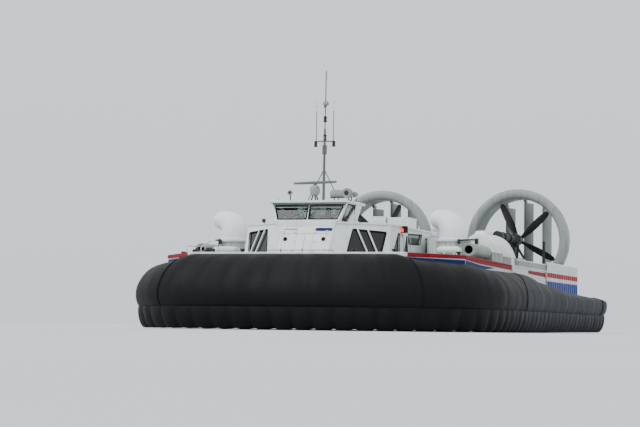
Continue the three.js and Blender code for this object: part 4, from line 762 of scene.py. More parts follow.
def panel(wall, outline, low, high, inset=0.0):
    """A flat plate on a wall with a given outline, from one distance out of it to another."""
    corners, place = on_wall(wall, outline)
    middle = corners.mean(0)
    ring = middle + (corners - middle) * (1 - inset)
    rows = [np.column_stack([part, np.full(len(part), z)]) for part, z in ((corners, low), (ring, high))]
    return onto(surface(np.stack(rows), wrap_v=True, caps=True), *place)


def bar(wall, start, end, half, rise=0.016):
    """A flat bar on a wall between two points of it, its edges bevelled: a low trapezoid."""
    (start, end), place = on_wall(wall, [start, end])
    side = np.array([(end - start)[1], -(end - start)[0]]) / np.linalg.norm(end - start) * half
    ring = [(start, -1.0, 0.0), (start, -0.8, rise), (start, 0.8, rise), (start, 1.0, 0.0)]
    near = np.array([[*(p + side * s), z] for p, s, z in ring])
    return onto(surface(np.stack([near, near + (*(end - start), 0)]), wrap_v=True, caps=True), *place)


def turned(profile, centre, axis, steps=32):
    """A turned form: point = centre + r * (cos(t) * a + sin(t) * b) + h * axis over pairs (r, h). A
    profile that keeps off the axis at both ends closes on itself, as a ring does."""
    closed = min(profile[0][0], profile[-1][0]) > 0
    radius, height = np.asarray(profile, float).T[..., None, None]
    axis = np.asarray(axis, float) / np.linalg.norm(axis)
    a = np.cross(axis, np.eye(3)[np.argmin(np.abs(axis))])
    a /= np.linalg.norm(a)
    t = np.linspace(0, 2 * np.pi, steps, endpoint=False)[None, :, None]
    ring = np.cos(t) * a + np.sin(t) * np.cross(axis, a)
    return surface(np.asarray(centre, float) + radius * ring + height * axis, wrap_u=closed, wrap_v=True)


def eased(points, steps, closed=False):
    """A smooth curve through points a, b, c, d at steps t: the Catmull-Rom cubic
    b + (c - a) * t / 2 + (2a - 5b + 4c - d) * t ** 2 / 2 + (3b - a - 3c + d) * t ** 3 / 2."""
    p = np.asarray(points, float)
    p = np.vstack([p[-1:], p, p[:2]]) if closed else np.vstack([p[:1] * 2 - p[1:2], p, p[-1:] * 2 - p[-2:-1]])
    a, b, c, d = (p[i:len(p) - 3 + i][:, None] for i in range(4))
    t = np.linspace(0, 1, steps, endpoint=False)[None, :, None]
    curve = (b + (c - a) * t / 2 + (2 * a - 5 * b + 4 * c - d) * t ** 2 / 2
             + (3 * b - a - 3 * c + d) * t ** 3 / 2)
    curve = curve.reshape(-1, p.shape[1])
    return curve if closed else np.vstack([curve, p[-2:-1]])


slit = [(-9.75, 2.98), (-8.74, 2.98), (-8.6, 3.8), (-8.84, 3.8)]
high = [(-7.37, 3.45), (-5.57, 3.5), (-5.17, 3.92), (-7.37, 3.84)]
row = [[(y, 3.08), (y + 1.35, 3.08), (y + 1.35, 3.78), (y, 3.78)] for y in (-4.7, -3.0, -1.3, 0.5)]
flank_window = [(0.85, 2.96), (2.3, 2.96), (2.6, 3.78), (1.2, 3.86)]
side_gaskets = [gasket("side", window) for window in (slit, high, *row)]
piece("cabin_window_gaskets", both_sides(gasket("flank", flank_window), *side_gaskets), gasket_rubber)
mullions = [bar("flank", foot, head, 0.032, 0.03)
            for foot, head in (((1.72, 2.93), (1.37, 3.89)), ((2.13, 2.93), (1.81, 3.87)))]
piece("window_mullions", both_sides(*mullions), white_paint)
# Half-round beads over the welds where the walls meet, and the gutter over the doors.
corner_beads = [tube([(1.0, -12.05, DECK_Z), (1.06, -11.775, 3.4), (1.12, -11.5, 4.05)], 0.018),
                tube([(2.95, -10.35, DECK_Z), (2.915, -10.158, 3.4), (2.88, -9.966, 4.05)], 0.018),
                tube([(2.95, 3.05, DECK_Z), (2.915, 3.02, 3.4), (2.88, 2.99, 4.05)], 0.018)]
gutter = [bar("side", (-8.45, 3.99), (-7.3, 3.99), 0.015, 0.05),
          bar("side", (-4.95, 3.87), (2.1, 3.87), 0.012, 0.03)]
piece("cabin_corner_beads", both_sides(*corner_beads, *gutter), white_paint)
# Side light boxes on the roof's edge: black screens with a red lamp to port and a green one to starboard.
light_box = blocks([(2.80, 3.13, -8.28, -8.26, 3.85, 4.10), (2.80, 2.83, -8.52, -8.28, 3.85, 4.10),
                    (2.80, 3.13, -8.52, -8.26, 3.84, 3.86), (2.80, 3.13, -8.52, -8.26, 4.09, 4.11)])
piece("side_light_screens", both_sides(light_box), black_paint, bevel=0.004)
lamp_lens = [(0, 0), (0.05, 0), (0.062, 0.02), (0.062, 0.13), (0.05, 0.15), (0, 0.15)]
for side, x, code in (("port", 2.93, "ff2a1c"), ("starboard", -2.93, "18c060")):
    # Moulded acrylic lens, lit from inside.
    lens = new_material(f"{side} side light lens", Base_Color=linear(code), Roughness=0.15,
                        Emission_Color=linear(code), Emission_Strength=1.6)[0]
    piece(f"{side}_side_light", turned(lamp_lens, (x, -8.40, 3.87), UPWARD, 20), lens)
# Fittings on the front: a plain blue board, seam lines, bow lamps' posts and a foot rail.
board = panel("front", [(0.42, 3.765), (1.06, 3.765), (1.07, 3.875), (0.42, 3.875)], 0.004, 0.022, 0.01)
piece("blue_board", board, blue_enamel)
front_seams = [bar("front", (-0.97, 3.66), (1.02, 3.66), 0.004, 0.006),
               bar("front", (0.0, 2.80), (0.0, 3.64), 0.004, 0.006)]
piece("front_seams", together(*front_seams), gasket_rubber)
stanchions = [tube([(x, -12.86, 2.755), (x, -12.86, 3.04)], 0.016, 8) for x in (-0.577, 0.286)]
foot_rail = tube([(-1.5, -12.86, 2.985), (0.0, -12.86, 2.985), (1.5, -12.86, 2.985)], 0.012, 8)
rail_ends = [tube([(x, -12.86, 2.755), (x, -12.86, 2.985)], 0.012, 8) for x in (-1.5, 1.5)]
piece("bow_foot_rail", together(*stanchions, foot_rail, *rail_ends), black_paint)
# Small floodlights on the flanks' roof edge, on short brackets.
flood = [turned([(0, -0.05), (0.045, -0.05), (0.075, 0.0), (0.08, 0.04), (0.065, 0.045), (0.0, 0.03)],
                (1.93, -10.86, 4.21), (0.3, -0.95, 0), 20),
         tube([(1.93, -10.84, 4.12), (1.93, -10.84, 4.16)], 0.02, 8)]
piece("flank_floodlights", both_sides(*flood), black_paint)


# Wheelhouse
# The same plate, leaning outward so that its windows throw back the glare, under a flat roof with
# a visor. A fairing carries the front wall's plate smoothly up to the sill.

keep(["wheelhouse_walls", "wheelhouse_roof"], white_paint)
keep(["wheelhouse_glass"], clear_glass, 0.002)
front_half = [(0.04, 4.225), (1.195, 4.225), (1.365, 4.735), (0.04, 4.735)]
side_pane = [(-11.13, 4.185), (-10.44, 4.185), (-9.99, 4.76), (-10.02, 4.81), (-10.98, 4.81)]
rear_pane = [(-1.07, 4.22), (1.07, 4.22), (1.07, 4.74), (-1.07, 4.74)]
paired_gaskets = both_sides(gasket("house front", front_half, 0.03), gasket("house side", side_pane))
piece("wheelhouse_gaskets", together(paired_gaskets, gasket("house rear", rear_pane)), gasket_rubber)
fairing_x = np.array([1.135, 1.165, 1.21, 1.262])[:, None]
FAIRING = np.array([(-11.552, 3.90), (-11.556, 4.05), (-11.545, 4.14), (-11.425, 4.21)])
fairing_y, fairing_z = FAIRING.T[..., None]
outside = np.stack(np.broadcast_arrays(np.linspace(-1, 1, 25) * fairing_x, fairing_y, fairing_z), -1)
fairing = np.concatenate([outside, outside[::-1] + (0, 0.035, -0.01)]).transpose(1, 0, 2)
piece("wheelhouse_front_fairing", surface(fairing, wrap_v=True, caps=True), white_paint)
# A black strip along the top of the front panes and a black board under the roof's front edge:
# painted shadow of the visor's recess. Wipers on the front windows.
painted_shadow_strip = panel("house front", [(-1.42, 4.765), (1.42, 4.765), (1.44, 4.80), (-1.44, 4.80)], 0.001, 0.02)
painted_shadow_board = blocks([(-1.5, 1.5, -11.40, -11.19, 4.845, 4.862)])
piece("visor_painted_shadow", together(painted_shadow_strip, painted_shadow_board), gasket_rubber)
# The wipers stand 30 mm ahead of the glass.
OFF_GLASS = 0.03
wipers = [tube([(x, -11.415 - OFF_GLASS, 4.235), (x + lean, -11.29 - OFF_GLASS, 4.50)], 0.007, 6)
          for x, lean in ((0.1, 0.16), (-0.1, -0.16))]
wiper_blades = [tube([(x - 0.09, -11.36 - OFF_GLASS, 4.35), (x + 0.12, -11.245 - OFF_GLASS, 4.62)], 0.009, 6)
                for x in (0.2, -0.3)]
piece("wipers", together(*wipers, *wiper_blades), black_paint)


# Doors and hatches
# Pressed aluminium leaves with rubber round their edges. The side doors are glazed and worked by a
# lever; the bow hatches carry a round deadlight each.

keep(["bow_hatch_port", "bow_hatch_starboard", "side_door_port", "side_door_starboard"], white_paint, 0.004)
door_window = [(-8.14, 3.0), (-7.535, 3.0), (-7.535, 3.74), (-7.6, 3.74)]
lever_bar = tube([(-7.53, 0.60, 0.02), (-7.53, 0.60, 0.05), (-7.64, 0.60, 0.052)], 0.012, 8)
lever = together(bar("side", (-7.53, 3.28), (-7.53, 3.42), 0.025, 0.02), onto(lever_bar, *walls["side"]))
rim = [(0, 0.004), (0.05, 0.004), (0.055, 0.022), (0.075, 0.022), (0.08, 0.0), (0, 0)]
deadlight = onto(turned(rim, (0.76, 0.70, 0), UPWARD, 24), *walls["front"])
hatch_dogs = [bar("front", (0.36, z), (0.45, z), 0.012, 0.02) for z in (2.98, 3.35, 3.72)]


def on_side(side, shape):
    """A shape made for the port side: as it is there, or mirrored to starboard."""
    return shape if side == "port" else mirrored(shape)


for side in ("port", "starboard"):
    door, hatch = f"side_door_{side}", f"bow_hatch_{side}"
    pane = on_side(side, panel("side", door_window, -0.03, -0.018))
    seal = on_side(side, gasket("side", door_window, 0.03))
    dogs = on_side(side, together(*hatch_dogs))
    piece(f"{side}_door_glass", pane, tinted_glass, door)
    piece(f"{side}_door_gasket", seal, gasket_rubber, door)
    piece(f"{side}_door_lever", on_side(side, lever), bare_metal, door, bevel=0.002)
    piece(f"{side}_hatch_deadlight", on_side(side, deadlight), gasket_rubber, hatch)
    piece(f"{side}_hatch_dogs", dogs, bare_metal, hatch, bevel=0.002)
door_step = blocks([(2.99, 3.13, -8.3, -7.45, ON_DECK, 2.79)])
grab_rails = [tube(bent([(2.94, y, 3.05), (3.0, y, 3.05), (3.0, y, 3.75), (2.91, y, 3.75)], 0.04, 4),
                   0.013, 8) for y in (-8.42, -7.40)]
piece("door_steps_and_grab_rails", both_sides(door_step, *grab_rails), bare_metal)


# Mast, radar and searchlights
# A painted tube mast with navigation lamps and whip aerials, a radar whose bar turns on a round
# housing, and two remote-controlled searchlights on the roof.

# Sprayed grey paint, pale on the fittings and dark on the mast, chalked by the weather.
grey_paint = marine_paint("grey fittings paint", "8f9596", "5b6162", 0.4, 0.4)
dark_grey = marine_paint("dark grey fittings paint", "5d6365", "3c4042", 0.45, 0.3)
keep(["mast"], dark_grey, 0.004)
ON_ROOF = 4.951


def about_z(angle):
    """The matrix that turns points about Z: (x, y) becomes (x cos - y sin, x sin + y cos)."""
    c, s = math.cos(angle), math.sin(angle)
    return np.array([[c, s, 0], [-s, c, 0], [0, 0, 1]])


lamp = [(0, -0.11), (0.07, -0.11), (0.085, -0.09), (0.06, -0.07), (0.06, 0.07), (0.085, 0.09), (0.05, 0.12),
        (0, 0.13)]
lamps = [turned(lamp, place, UPWARD, 16) for place in (
    (0.0, -9.30, 7.55), (0.0, -9.34, 7.08), (0.0, -9.29, 8.28), (0.37, -9.32, 7.3), (-0.37, -9.32, 7.3))]
piece("mast_lamps", together(*lamps), black_paint)
whips = [tube([(x, -9.3, 8.58), (x * 1.03, -9.28, 9.05)], 0.006, 6) for x in (-0.35, 0.35)]
dome = turned([(0, 0), (0.1, 0.0), (0.12, 0.03), (0.12, 0.08), (0.09, 0.14), (0.04, 0.17), (0, 0.175)],
              (0.0, -9.22, 8.84), UPWARD, 20)
piece("mast_aerials", together(*whips, dome), grey_paint)
RADAR_Y = -10.5
drum = eased([(0.0, 0.0), (0.1, 0.005), (0.17, 0.06), (0.2, 0.16), (0.2, 0.26), (0.17, 0.35), (0.1, 0.40),
              (0.0, 0.41)], 3)
piece("radar_drum", turned(drum, (0, RADAR_Y, 5.185), UPWARD, 32), grey_paint,
      replaces=["radar_pedestal"])
LEG_ENDS = [
    # distance from the drum's axis, height
    (0.17, 4.955), (0.08, 5.2),
]
radar_legs = [tube([(r * math.sin(a), RADAR_Y + r * math.cos(a), z) for r, z in LEG_ENDS], 0.028, 8)
              for a in (0.6, 2.7, 4.8)]
radar_foot = turned([(0, 0), (0.2, 0), (0.2, 0.02), (0.17, 0.035), (0, 0.035)], (0, RADAR_Y, ON_ROOF),
                    UPWARD, 32)
piece("radar_legs", together(*radar_legs, radar_foot), black_paint)
# The scanner's bar: stations along it, and its thickness there as a share of 0.05 m.
bar_half = np.array([-1.02, -1.0, -0.78, -0.1, 0.1, 0.78, 1.0, 1.02])
bar_size = np.array([0.2, 0.8, 1.0, 1.15, 1.15, 1.0, 0.8, 0.2])
oval = np.linspace(0, 2 * np.pi, 20, endpoint=False)
BAR_THICK, BAR_REST_DEG = 0.05, -18
bar_ring = np.stack([np.broadcast_to(bar_half[:, None], (8, 20)),
                     np.cos(oval) * BAR_THICK * bar_size[:, None],
                     np.sin(oval) * BAR_THICK * bar_size[:, None]], -1)
bar_ring = bar_ring @ about_z(math.radians(BAR_REST_DEG)) + (0, RADAR_Y, 5.69)
turning_head = turned([(0, 0.0), (0.06, 0.0), (0.065, 0.03), (0.05, 0.08), (0.0, 0.08)], (0, RADAR_Y, 5.598),
                      UPWARD, 24)
scanner = together(surface(bar_ring, wrap_v=True, caps=True), turning_head)
piece("radar_bar", scanner, dark_grey, "radar_scanner", replaces=["radar_scanner"])
canister = eased([(0.0, -0.42), (0.09, -0.415), (0.14, -0.36), (0.15, -0.2), (0.15, 0.16), (0.13, 0.2),
                  (0.0, 0.2)], 3)
lamp_can = [(0.0, -0.2), (0.13, -0.2), (0.175, -0.215), (0.19, -0.2), (0.19, -0.05), (0.16, 0.06),
            (0.08, 0.13), (0.0, 0.14)]
small_can = [(0.0, -0.09), (0.09, -0.1), (0.1, -0.09), (0.1, -0.02), (0.07, 0.07), (0.0, 0.1)]
AIMED = (0.18, 1, 0)
housings = [turned(canister, (1.16, -10.87, 5.225), (1, 0, 0), 28),
            turned(lamp_can, (1.48, -10.87, 5.24), AIMED, 32),
            turned(small_can, (-0.87, -10.87, 5.28), AFTWARD, 24),
            turned(small_can, (1.72, -10.70, 5.2), (0.3, 1, 0), 20)]
piece("searchlight_housings", together(*housings), grey_paint, replaces=["searchlights"])
legs = [tube([(x, y, ON_ROOF), (x, y, top)], 0.022, 8) for x, y, top in (
    (-0.87, -10.87, 5.2), (0.9, -10.87, 5.12), (1.48, -10.87, 5.08), (1.55, -10.75, 5.12))]
plates = blocks([
    (0.74, 1.34, -10.97, -10.77, 5.065, 5.09), (0.8, 1.56, -10.93, -10.81, ON_ROOF, 4.985),
    (-0.94, -0.80, -10.94, -10.8, ON_ROOF, 4.975), (1.53, 1.72, -10.77, -10.73, 5.09, 5.115)])
lamp_face = [(0, 0), (0.035, 0), (0.06, 0.012), (0.085, 0.0), (0.09, 0.0), (0.09, 0.02), (0, 0.02)]
faces = [turned(lamp_face, (1.44, -11.09, 5.24), AIMED, 24),
         turned([(0, 0), (0.05, 0), (0.06, 0.01), (0, 0.01)], (-0.87, -10.975, 5.28), AFTWARD, 20)]
piece("searchlight_mounts", together(*legs, plates, *faces), black_paint)


# Roof units
# Sheet metal ventilation boxes on the cabin roof, with lids and louvres.

keep(["roof_units"], white_paint, 0.02)
lids = [(0.58, 1.21, -4.67, -3.33, 4.68, 4.722), (1.27, 2.19, -4.67, -3.33, 4.635, 4.677)]
louvres = [(x0, x1, -4.672, -4.651, z, z + 0.018)
           for x0, x1 in ((0.66, 1.13), (1.36, 2.1)) for z in np.arange(4.25, 4.6, 0.07)]
piece("roof_unit_lids", both_sides(blocks(lids), blocks(louvres)), white_paint, bevel=0.004)


# Lift modules
# Welded machinery casings beside the cabin, pale grey, with a sloping outboard shoulder, louvred
# sides, ribs along the front and a small domed ventilator.

# Pale grey machinery paint, streaked darker.
pale_casing = marine_paint("pale casing paint", "cdd3cf", "7f8783", 0.42, 0.45)
SHOULDER = [
    # x and height round the casing's section
    (3.15, ON_DECK), (5.05, ON_DECK), (5.05, 3.30), (4.98, 3.42), (4.66, 3.74), (4.52, 3.82), (4.38, 3.85),
    (3.15, 3.85),
]
x, z = np.array(SHOULDER).T
middle_x, middle_z = 4.1, 3.3
casing = np.stack([
    np.stack([middle_x + (x - middle_x) * size, np.full(8, y), middle_z + (z - middle_z) * size], -1)
    for y, size in ((-5.35, 0.985), (-5.34, 1.0), (2.51, 1.0), (2.52, 0.985))])
piece("lift_casings", both_sides(surface(casing, wrap_v=True, caps=True)), pale_casing,
      replaces=["lift_module_port", "lift_module_starboard"], sharp=25, bevel=0.01)
slats = [(5.045, 5.075, y, y + 0.025, 2.9, 3.25) for y in np.arange(-4.9, 2.3, 0.09) if (y + 4.9) % 1.8 < 1.5]
frames = [(5.045, 5.085, y, y + 1.56, z, z + 0.03) for y in (-4.93, -3.13, -1.33, 0.47) for z in (2.87, 3.25)]
front_ribs = [(x, x + 0.03, -5.375, -5.345, 2.85, 3.5) for x in np.arange(3.3, 4.9, 0.2)]
piece("lift_louvres", both_sides(blocks(slats + frames + front_ribs)), pale_casing, bevel=0.003)
# Black openings behind the slats.
openings = blocks([(5.02, 5.053, y, y + 1.5, 2.9, 3.25) for y in (-4.9, -3.1, -1.3, 0.5)])
piece("lift_openings", both_sides(openings), black_paint)
ventilator = eased([(0.0, 0.0), (0.15, 0.0), (0.15, 0.16), (0.19, 0.18), (0.2, 0.26), (0.16, 0.36),
                    (0.08, 0.42), (0.0, 0.43)], 4)
domed_top = turned(ventilator, (3.64, -5.7, 3.88), UPWARD, 28)
side_box = blocks([(3.40, 3.88, -6.0, -5.4, ON_DECK, 3.86), (3.37, 3.91, -6.03, -5.38, 3.84, 3.88)])
piece("domed_ventilators", both_sides(domed_top, side_box), white_paint, bevel=0.008)
bolt = [(0, 0.012), (0.02, 0.012), (0.022, 0.0), (0, 0)]
lid_bolts = [turned(bolt, (x, y, 3.85), UPWARD, 6) for x in (3.3, 4.2) for y in np.arange(-5.0, 2.4, 0.6)]
hatches = blocks([(3.4, 4.15, y, y + 1.0, 3.85, 3.875) for y in (-4.6, -2.9, 0.9)])
piece("lift_top_hatches", both_sides(hatches, *lid_bolts), pale_casing, bevel=0.004)


# Side pipes
# A wide rolled pipe with a rubber-lined mouth over a deck locker, and a white feed pipe across the
# deck from the thruster's base.

keep(["side_pipe_port", "side_pipe_starboard"], casing_paint, 0.012)
PIPE = (5.56, 0, 3.2)
mouth = turned([(0.262, -8.20), (0.262, -8.06), (0.25, -8.05), (0.215, -8.06), (0.165, -8.10), (0.16, -8.20),
                (0.175, -8.215), (0.255, -8.215)], PIPE, AFTWARD, 40)
lining = turned([(0.159, -8.17), (0.159, -5.36), (0.0, -5.35), (0.0, -5.37), (0.15, -5.38), (0.15, -8.17)],
                PIPE, AFTWARD, 32)
piece("pipe_mouths", both_sides(mouth), casing_paint)
piece("pipe_mouth_rubber", both_sides(lining), gasket_rubber)
bands = [turned([(0.261, y - 0.03), (0.272, y - 0.025), (0.272, y + 0.025), (0.261, y + 0.03)], PIPE,
                AFTWARD, 40) for y in (-7.5, -6.7, -5.9)]
piece("pipe_bands", both_sides(*bands), bare_metal)
feed = bent([(4.3, -7.4, 3.2), (4.3, -7.85, 3.2), (5.12, -7.9, 3.2), (5.12, -7.9, 2.76)], 0.16, 6)
brackets = blocks([(x, x + 0.05, -7.98, -7.78, ON_DECK, 3.1) for x in (4.5, 4.9)])
piece("feed_pipes", both_sides(tube(feed, 0.14, 20), brackets), white_paint)


# Bow thrusters
# A round base with upright stiffeners and a moulded elbow nozzle on a turning ring. A dark
# ram beside the ring turns the nozzle.

# White gel coat on glass fibre, smooth and clean.
nozzle_paint = marine_paint("white gel coat", "eef1f2", "c3c9ca", 0.28, 0.2)
keep(["thruster_base_port", "thruster_base_starboard"], pale_casing, 0.012)
THRUSTER_X, THRUSTER_Y = 4.6, -6.8
around = np.linspace(0, 2 * np.pi, 20, endpoint=False)
rib_foot = np.stack([THRUSTER_X + 0.662 * np.cos(around), THRUSTER_Y + 0.662 * np.sin(around)], -1)
ribs = [tube([(x, y, 2.76), (x, y, 3.52)], 0.02, 6) for x, y in rib_foot]
flange = turned([(0.60, 3.545), (0.70, 3.545), (0.71, 3.56), (0.71, 3.60), (0.70, 3.615), (0.60, 3.615)],
                (THRUSTER_X, THRUSTER_Y, 0), UPWARD, 48)
piece("thruster_base_ribs", both_sides(*ribs, flange), pale_casing)
ram = tube([(5.0, -7.5, 3.6), (5.38, -7.0, 3.64), (5.45, -6.3, 3.66)], 0.035, 10)
ram_block = blocks([(5.38, 5.5, -6.42, -6.22, 3.44, 3.72), (4.95, 5.05, -7.55, -7.45, 3.45, 3.64)])
piece("thruster_rams", both_sides(ram, ram_block), black_paint)
# The elbow turns with the nozzle's body. Its mouth is wider than it is high.
BEND, RISER, RUN = 0.62, 0.22, 0.14
AIM, ACROSS = np.array([-0.81915, 0.57358, 0.0]), np.array([0.57358, 0.81915, 0.0])
bend = np.linspace(0, np.pi / 2, 15)
out = np.concatenate([[0, 0], BEND * (1 - np.cos(bend)), [BEND + RUN / 2, BEND + RUN]])
high_up = np.concatenate([[0.001, RISER / 2], RISER + BEND * np.sin(bend), [RISER + BEND] * 2])
tip = np.concatenate([[0, 0], bend, [np.pi / 2] * 2])[:, None]
over = np.array([0, 0, 1.0]) * np.sin(tip) - AIM * np.cos(tip)
round_it = np.linspace(0, 2 * np.pi, 48, endpoint=False)[None, :, None]
station = np.arange(len(out))


def elbow(wall):
    """The elbow's rings, a wall's thickness in from its outer face: ellipses of half width w and
    half height h, point = centre + w * cos(t) * across + h * sin(t) * over."""
    wide = np.interp(station, [0, 2, 9, 18], [0.56, 0.555, 0.535, 0.56]) - wall
    tall = np.interp(station, [0, 2, 12, 18], [0.56, 0.55, 0.40, 0.39]) - wall
    middle = out[:, None] * AIM + high_up[:, None] * (0, 0, 1.0)
    return (middle[:, None] + wide[:, None, None] * np.cos(round_it) * ACROSS
            + tall[:, None, None] * np.sin(round_it) * over[:, None])


shell = surface(np.concatenate([elbow(0.0), elbow(0.035)[::-1]]), wrap_u=True, wrap_v=True)
foot_ring = turned([(0.55, 0.002), (0.61, 0.002), (0.62, 0.02), (0.61, 0.04), (0.55, 0.04)], (0, 0, 0),
                   UPWARD, 48)
mouth_bead = tube(elbow(0.015)[-1], 0.028, 10, closed=True)
points, faces = together(shell, foot_ring, mouth_bead)
for side, x in (("port", THRUSTER_X), ("starboard", -THRUSTER_X)):
    piece(f"{side}_nozzle", (points + (x, THRUSTER_Y, 3.631), faces), nozzle_paint,
          f"thruster_nozzle_{side}", replaces=[f"thruster_nozzle_{side}"])


# Engine modules
# Arched white cowls in moulded sections with raised flanges, a low intake on top, and a round
# exhaust in the front. Cooling pipes run aft along the foot.

ENGINE_X, SCOOP_FOOT = 3.39, 4.36
arch = np.linspace(0, np.pi, 41)
cowl_y = np.array([3.15, 3.16, 3.20, 3.26, 4.8, 6.40, 6.45, 6.49, 6.5])
cowl_size = np.array([0.93, 0.965, 0.99, 1.0, 1.0, 1.0, 0.99, 0.965, 0.93])
cowl = np.stack([ENGINE_X + 1.05 * np.cos(arch) * cowl_size[:, None],
                 np.broadcast_to(cowl_y[:, None], (9, 41)),
                 ON_DECK + 1.678 * np.sin(arch) * cowl_size[:, None]], -1)
hoop_x, hoop_z = ENGINE_X + 1.052 * np.cos(arch), ON_DECK + 1.68 * np.sin(arch)
hoops = [tube(np.stack([hoop_x, 0 * arch + y, hoop_z], -1), 0.016, 8) for y in (3.9, 4.8, 5.7)]
scoop_x, scoop_z = eased([(-0.30, 4.36), (-0.28, 4.46), (-0.18, 4.53), (0.18, 4.53), (0.28, 4.46),
                          (0.30, 4.36)], 4).T
scoop = np.stack([
    np.column_stack([ENGINE_X + scoop_x * size, np.full(len(scoop_x), y),
                     SCOOP_FOOT + (scoop_z - SCOOP_FOOT) * size])
    for y, size in ((3.30, 0.6), (3.36, 0.92), (3.45, 1.0), (4.4, 1.0), (4.9, 0.7), (5.1, 0.2))])
cowls = [surface(form, wrap_v=True, caps=True) for form in (cowl, scoop)]
piece("engine_cowls", both_sides(*cowls, *hoops), white_paint,
      replaces=["engine_module_port", "engine_module_starboard"], sharp=40)
exhaust = turned([(0.0, 0.0), (0.07, 0.0), (0.075, -0.03), (0.095, -0.03), (0.1, 0.03), (0.0, 0.03)],
                 (3.99, 3.15, 3.84), AFTWARD, 28)
piece("exhaust_outlets", both_sides(exhaust), black_paint)
cooling = [tube(bent([(4.62, 2.5, z), (4.62, 6.7, z), (4.3, 7.2, z), (4.3, y, z), (4.3, y, 2.76)], 0.12, 6),
                0.06, 12) for z, y in ((2.95, 9.6), (3.12, 9.9))]
foot_boxes = blocks([(4.55, 5.2, 3.3, 4.5, ON_DECK, 3.3), (2.0, 2.3, 3.6, 5.6, ON_DECK, 3.4),
                     (4.5, 5.3, 7.4, 9.0, ON_DECK, 3.05)])
piece("engine_foot_gear", both_sides(*cooling, foot_boxes), casing_paint, bevel=0.01)


# Pylons and propellers
# A black shaft housing in bolted lengths runs to the hub on welded legs. The propellers have five
# twisted composite blades and a rounded spinner.

keep(["pylon_port", "pylon_starboard"], black_paint, 0.008)
SHAFT_X, SHAFT_Z = 3.45, 4.46
SHAFT = (SHAFT_X, 0, SHAFT_Z)
joints = [turned([(0.19, y - 0.04), (0.235, y - 0.035), (0.235, y + 0.035), (0.19, y + 0.04)], SHAFT,
                 AFTWARD, 32) for y in (6.56, 7.6, 8.8, 10.0, 11.1)]
gearbox = turned(eased([(0.19, 10.25), (0.27, 10.35), (0.3, 10.6), (0.29, 10.9), (0.22, 11.08),
                        (0.19, 11.1)], 3), SHAFT, AFTWARD, 32)
struts = [tube([(SHAFT_X + x, 10.3, 4.3), (SHAFT_X + 0.4 * x, 8.9, 4.45)], 0.03, 8) for x in (-0.3, 0.3)]
piece("shaft_joints", both_sides(*joints, gearbox, *struts), black_paint)
BLADE = eased([
    # radius, chord, thickness, pitch in degrees
    (0.14, 0.22, 0.12, 60), (0.3, 0.26, 0.10, 56), (0.6, 0.36, 0.072, 47), (0.9, 0.40, 0.056, 39),
    (1.2, 0.39, 0.045, 32), (1.5, 0.36, 0.036, 28), (1.75, 0.31, 0.028, 25), (1.9, 0.25, 0.02, 22),
    (1.97, 0.17, 0.014, 21), (2.0, 0.06, 0.008, 21),
], 3)
foil = np.linspace(0, 2 * np.pi, 20, endpoint=False)
s, h = 0.5 * np.cos(foil), 0.5 * np.sin(foil) * (1 - 0.35 * np.cos(foil)) * 0.9
reach, chord, thick, pitch = BLADE.T[..., None]
pitch = np.radians(pitch)
blade = np.stack([s * chord * np.cos(pitch) - h * thick * np.sin(pitch),
                  s * chord * np.sin(pitch) + h * thick * np.cos(pitch), reach + 0 * s], -1)
FIRST_BLADE_DEG, BLADE_STEP_DEG = 46, 72
blades = []
for turn in np.radians(FIRST_BLADE_DEG - BLADE_STEP_DEG * np.arange(5)):
    c, s = math.cos(turn), math.sin(turn)
    blades.append(surface(blade @ np.array([[c, 0, -s], [0, 1, 0], [s, 0, c]]), wrap_v=True, caps=True))
spinner = turned(eased([(0.0, -0.255), (0.15, -0.25), (0.2, -0.12), (0.205, 0.1), (0.17, 0.22), (0.09, 0.31),
                        (0.0, 0.345)], 4), (0, 0, 0), AFTWARD, 32)
points, faces = together(spinner, *blades)
propeller = (points + (SHAFT_X, 11.45, SHAFT_Z), faces)
for side in ("port", "starboard"):
    piece(f"{side}_propeller_blades", on_side(side, propeller), black_paint,
          f"propeller_{side}", replaces=[f"propeller_{side}"], sharp=60)


# Ducts and rudders
# Each propeller turns in a moulded ring with a fat rounded lip. Three hollow vanes hang on pins
# between lugs at the ring's rear edge.

# Pale gel coat, drawn mid grey as painted shade of the shadowed rings, and stained darker by
# exhaust in patches and streaks.
duct_paint = marine_paint("pale grey duct gel coat", "949a97", "555b59", 0.4, 0.5)
# The same gel coat on the vanes, drawn a little darker still: painted shade, as the pale vanes hang in
# shadow.
rudder_paint = marine_paint("grey rudder paint", "838987", "545958", 0.42, 0.45)
DUCT_SECTION = eased([
    # radius, distance aft
    (2.105, 10.96), (2.20, 10.905), (2.32, 10.90), (2.43, 10.945), (2.492, 11.05), (2.50, 11.2), (2.47, 11.5),
    (2.33, 12.2), (2.14, 12.88), (2.115, 12.9), (2.09, 12.88), (2.055, 12.3), (2.047, 11.8), (2.047, 11.3),
    (2.06, 11.08),
], 3, closed=True)
OUTER_RINGS = [
    # radius, place along the duct
    (2.448, 11.65), (2.285, 12.35),
]
rings_out = [turned([(r + 0.002, y - 0.03), (r + 0.022, y - 0.02), (r + 0.022, y + 0.02),
                     (r - 0.006, y + 0.03)], SHAFT, AFTWARD, 96) for r, y in OUTER_RINGS]
# Places of the inner, middle and outer vane across the duct.
VANES = {"inner": -0.92, "middle": 0.0, "outer": 0.92}


def opening_half(offset, clearance):
    """Half the duct's opening at a vane, less a clearance: sqrt(2.045 ** 2 - (|offset| + 0.06) ** 2)."""
    return math.sqrt(2.045 ** 2 - (abs(offset) + 0.06) ** 2) - clearance


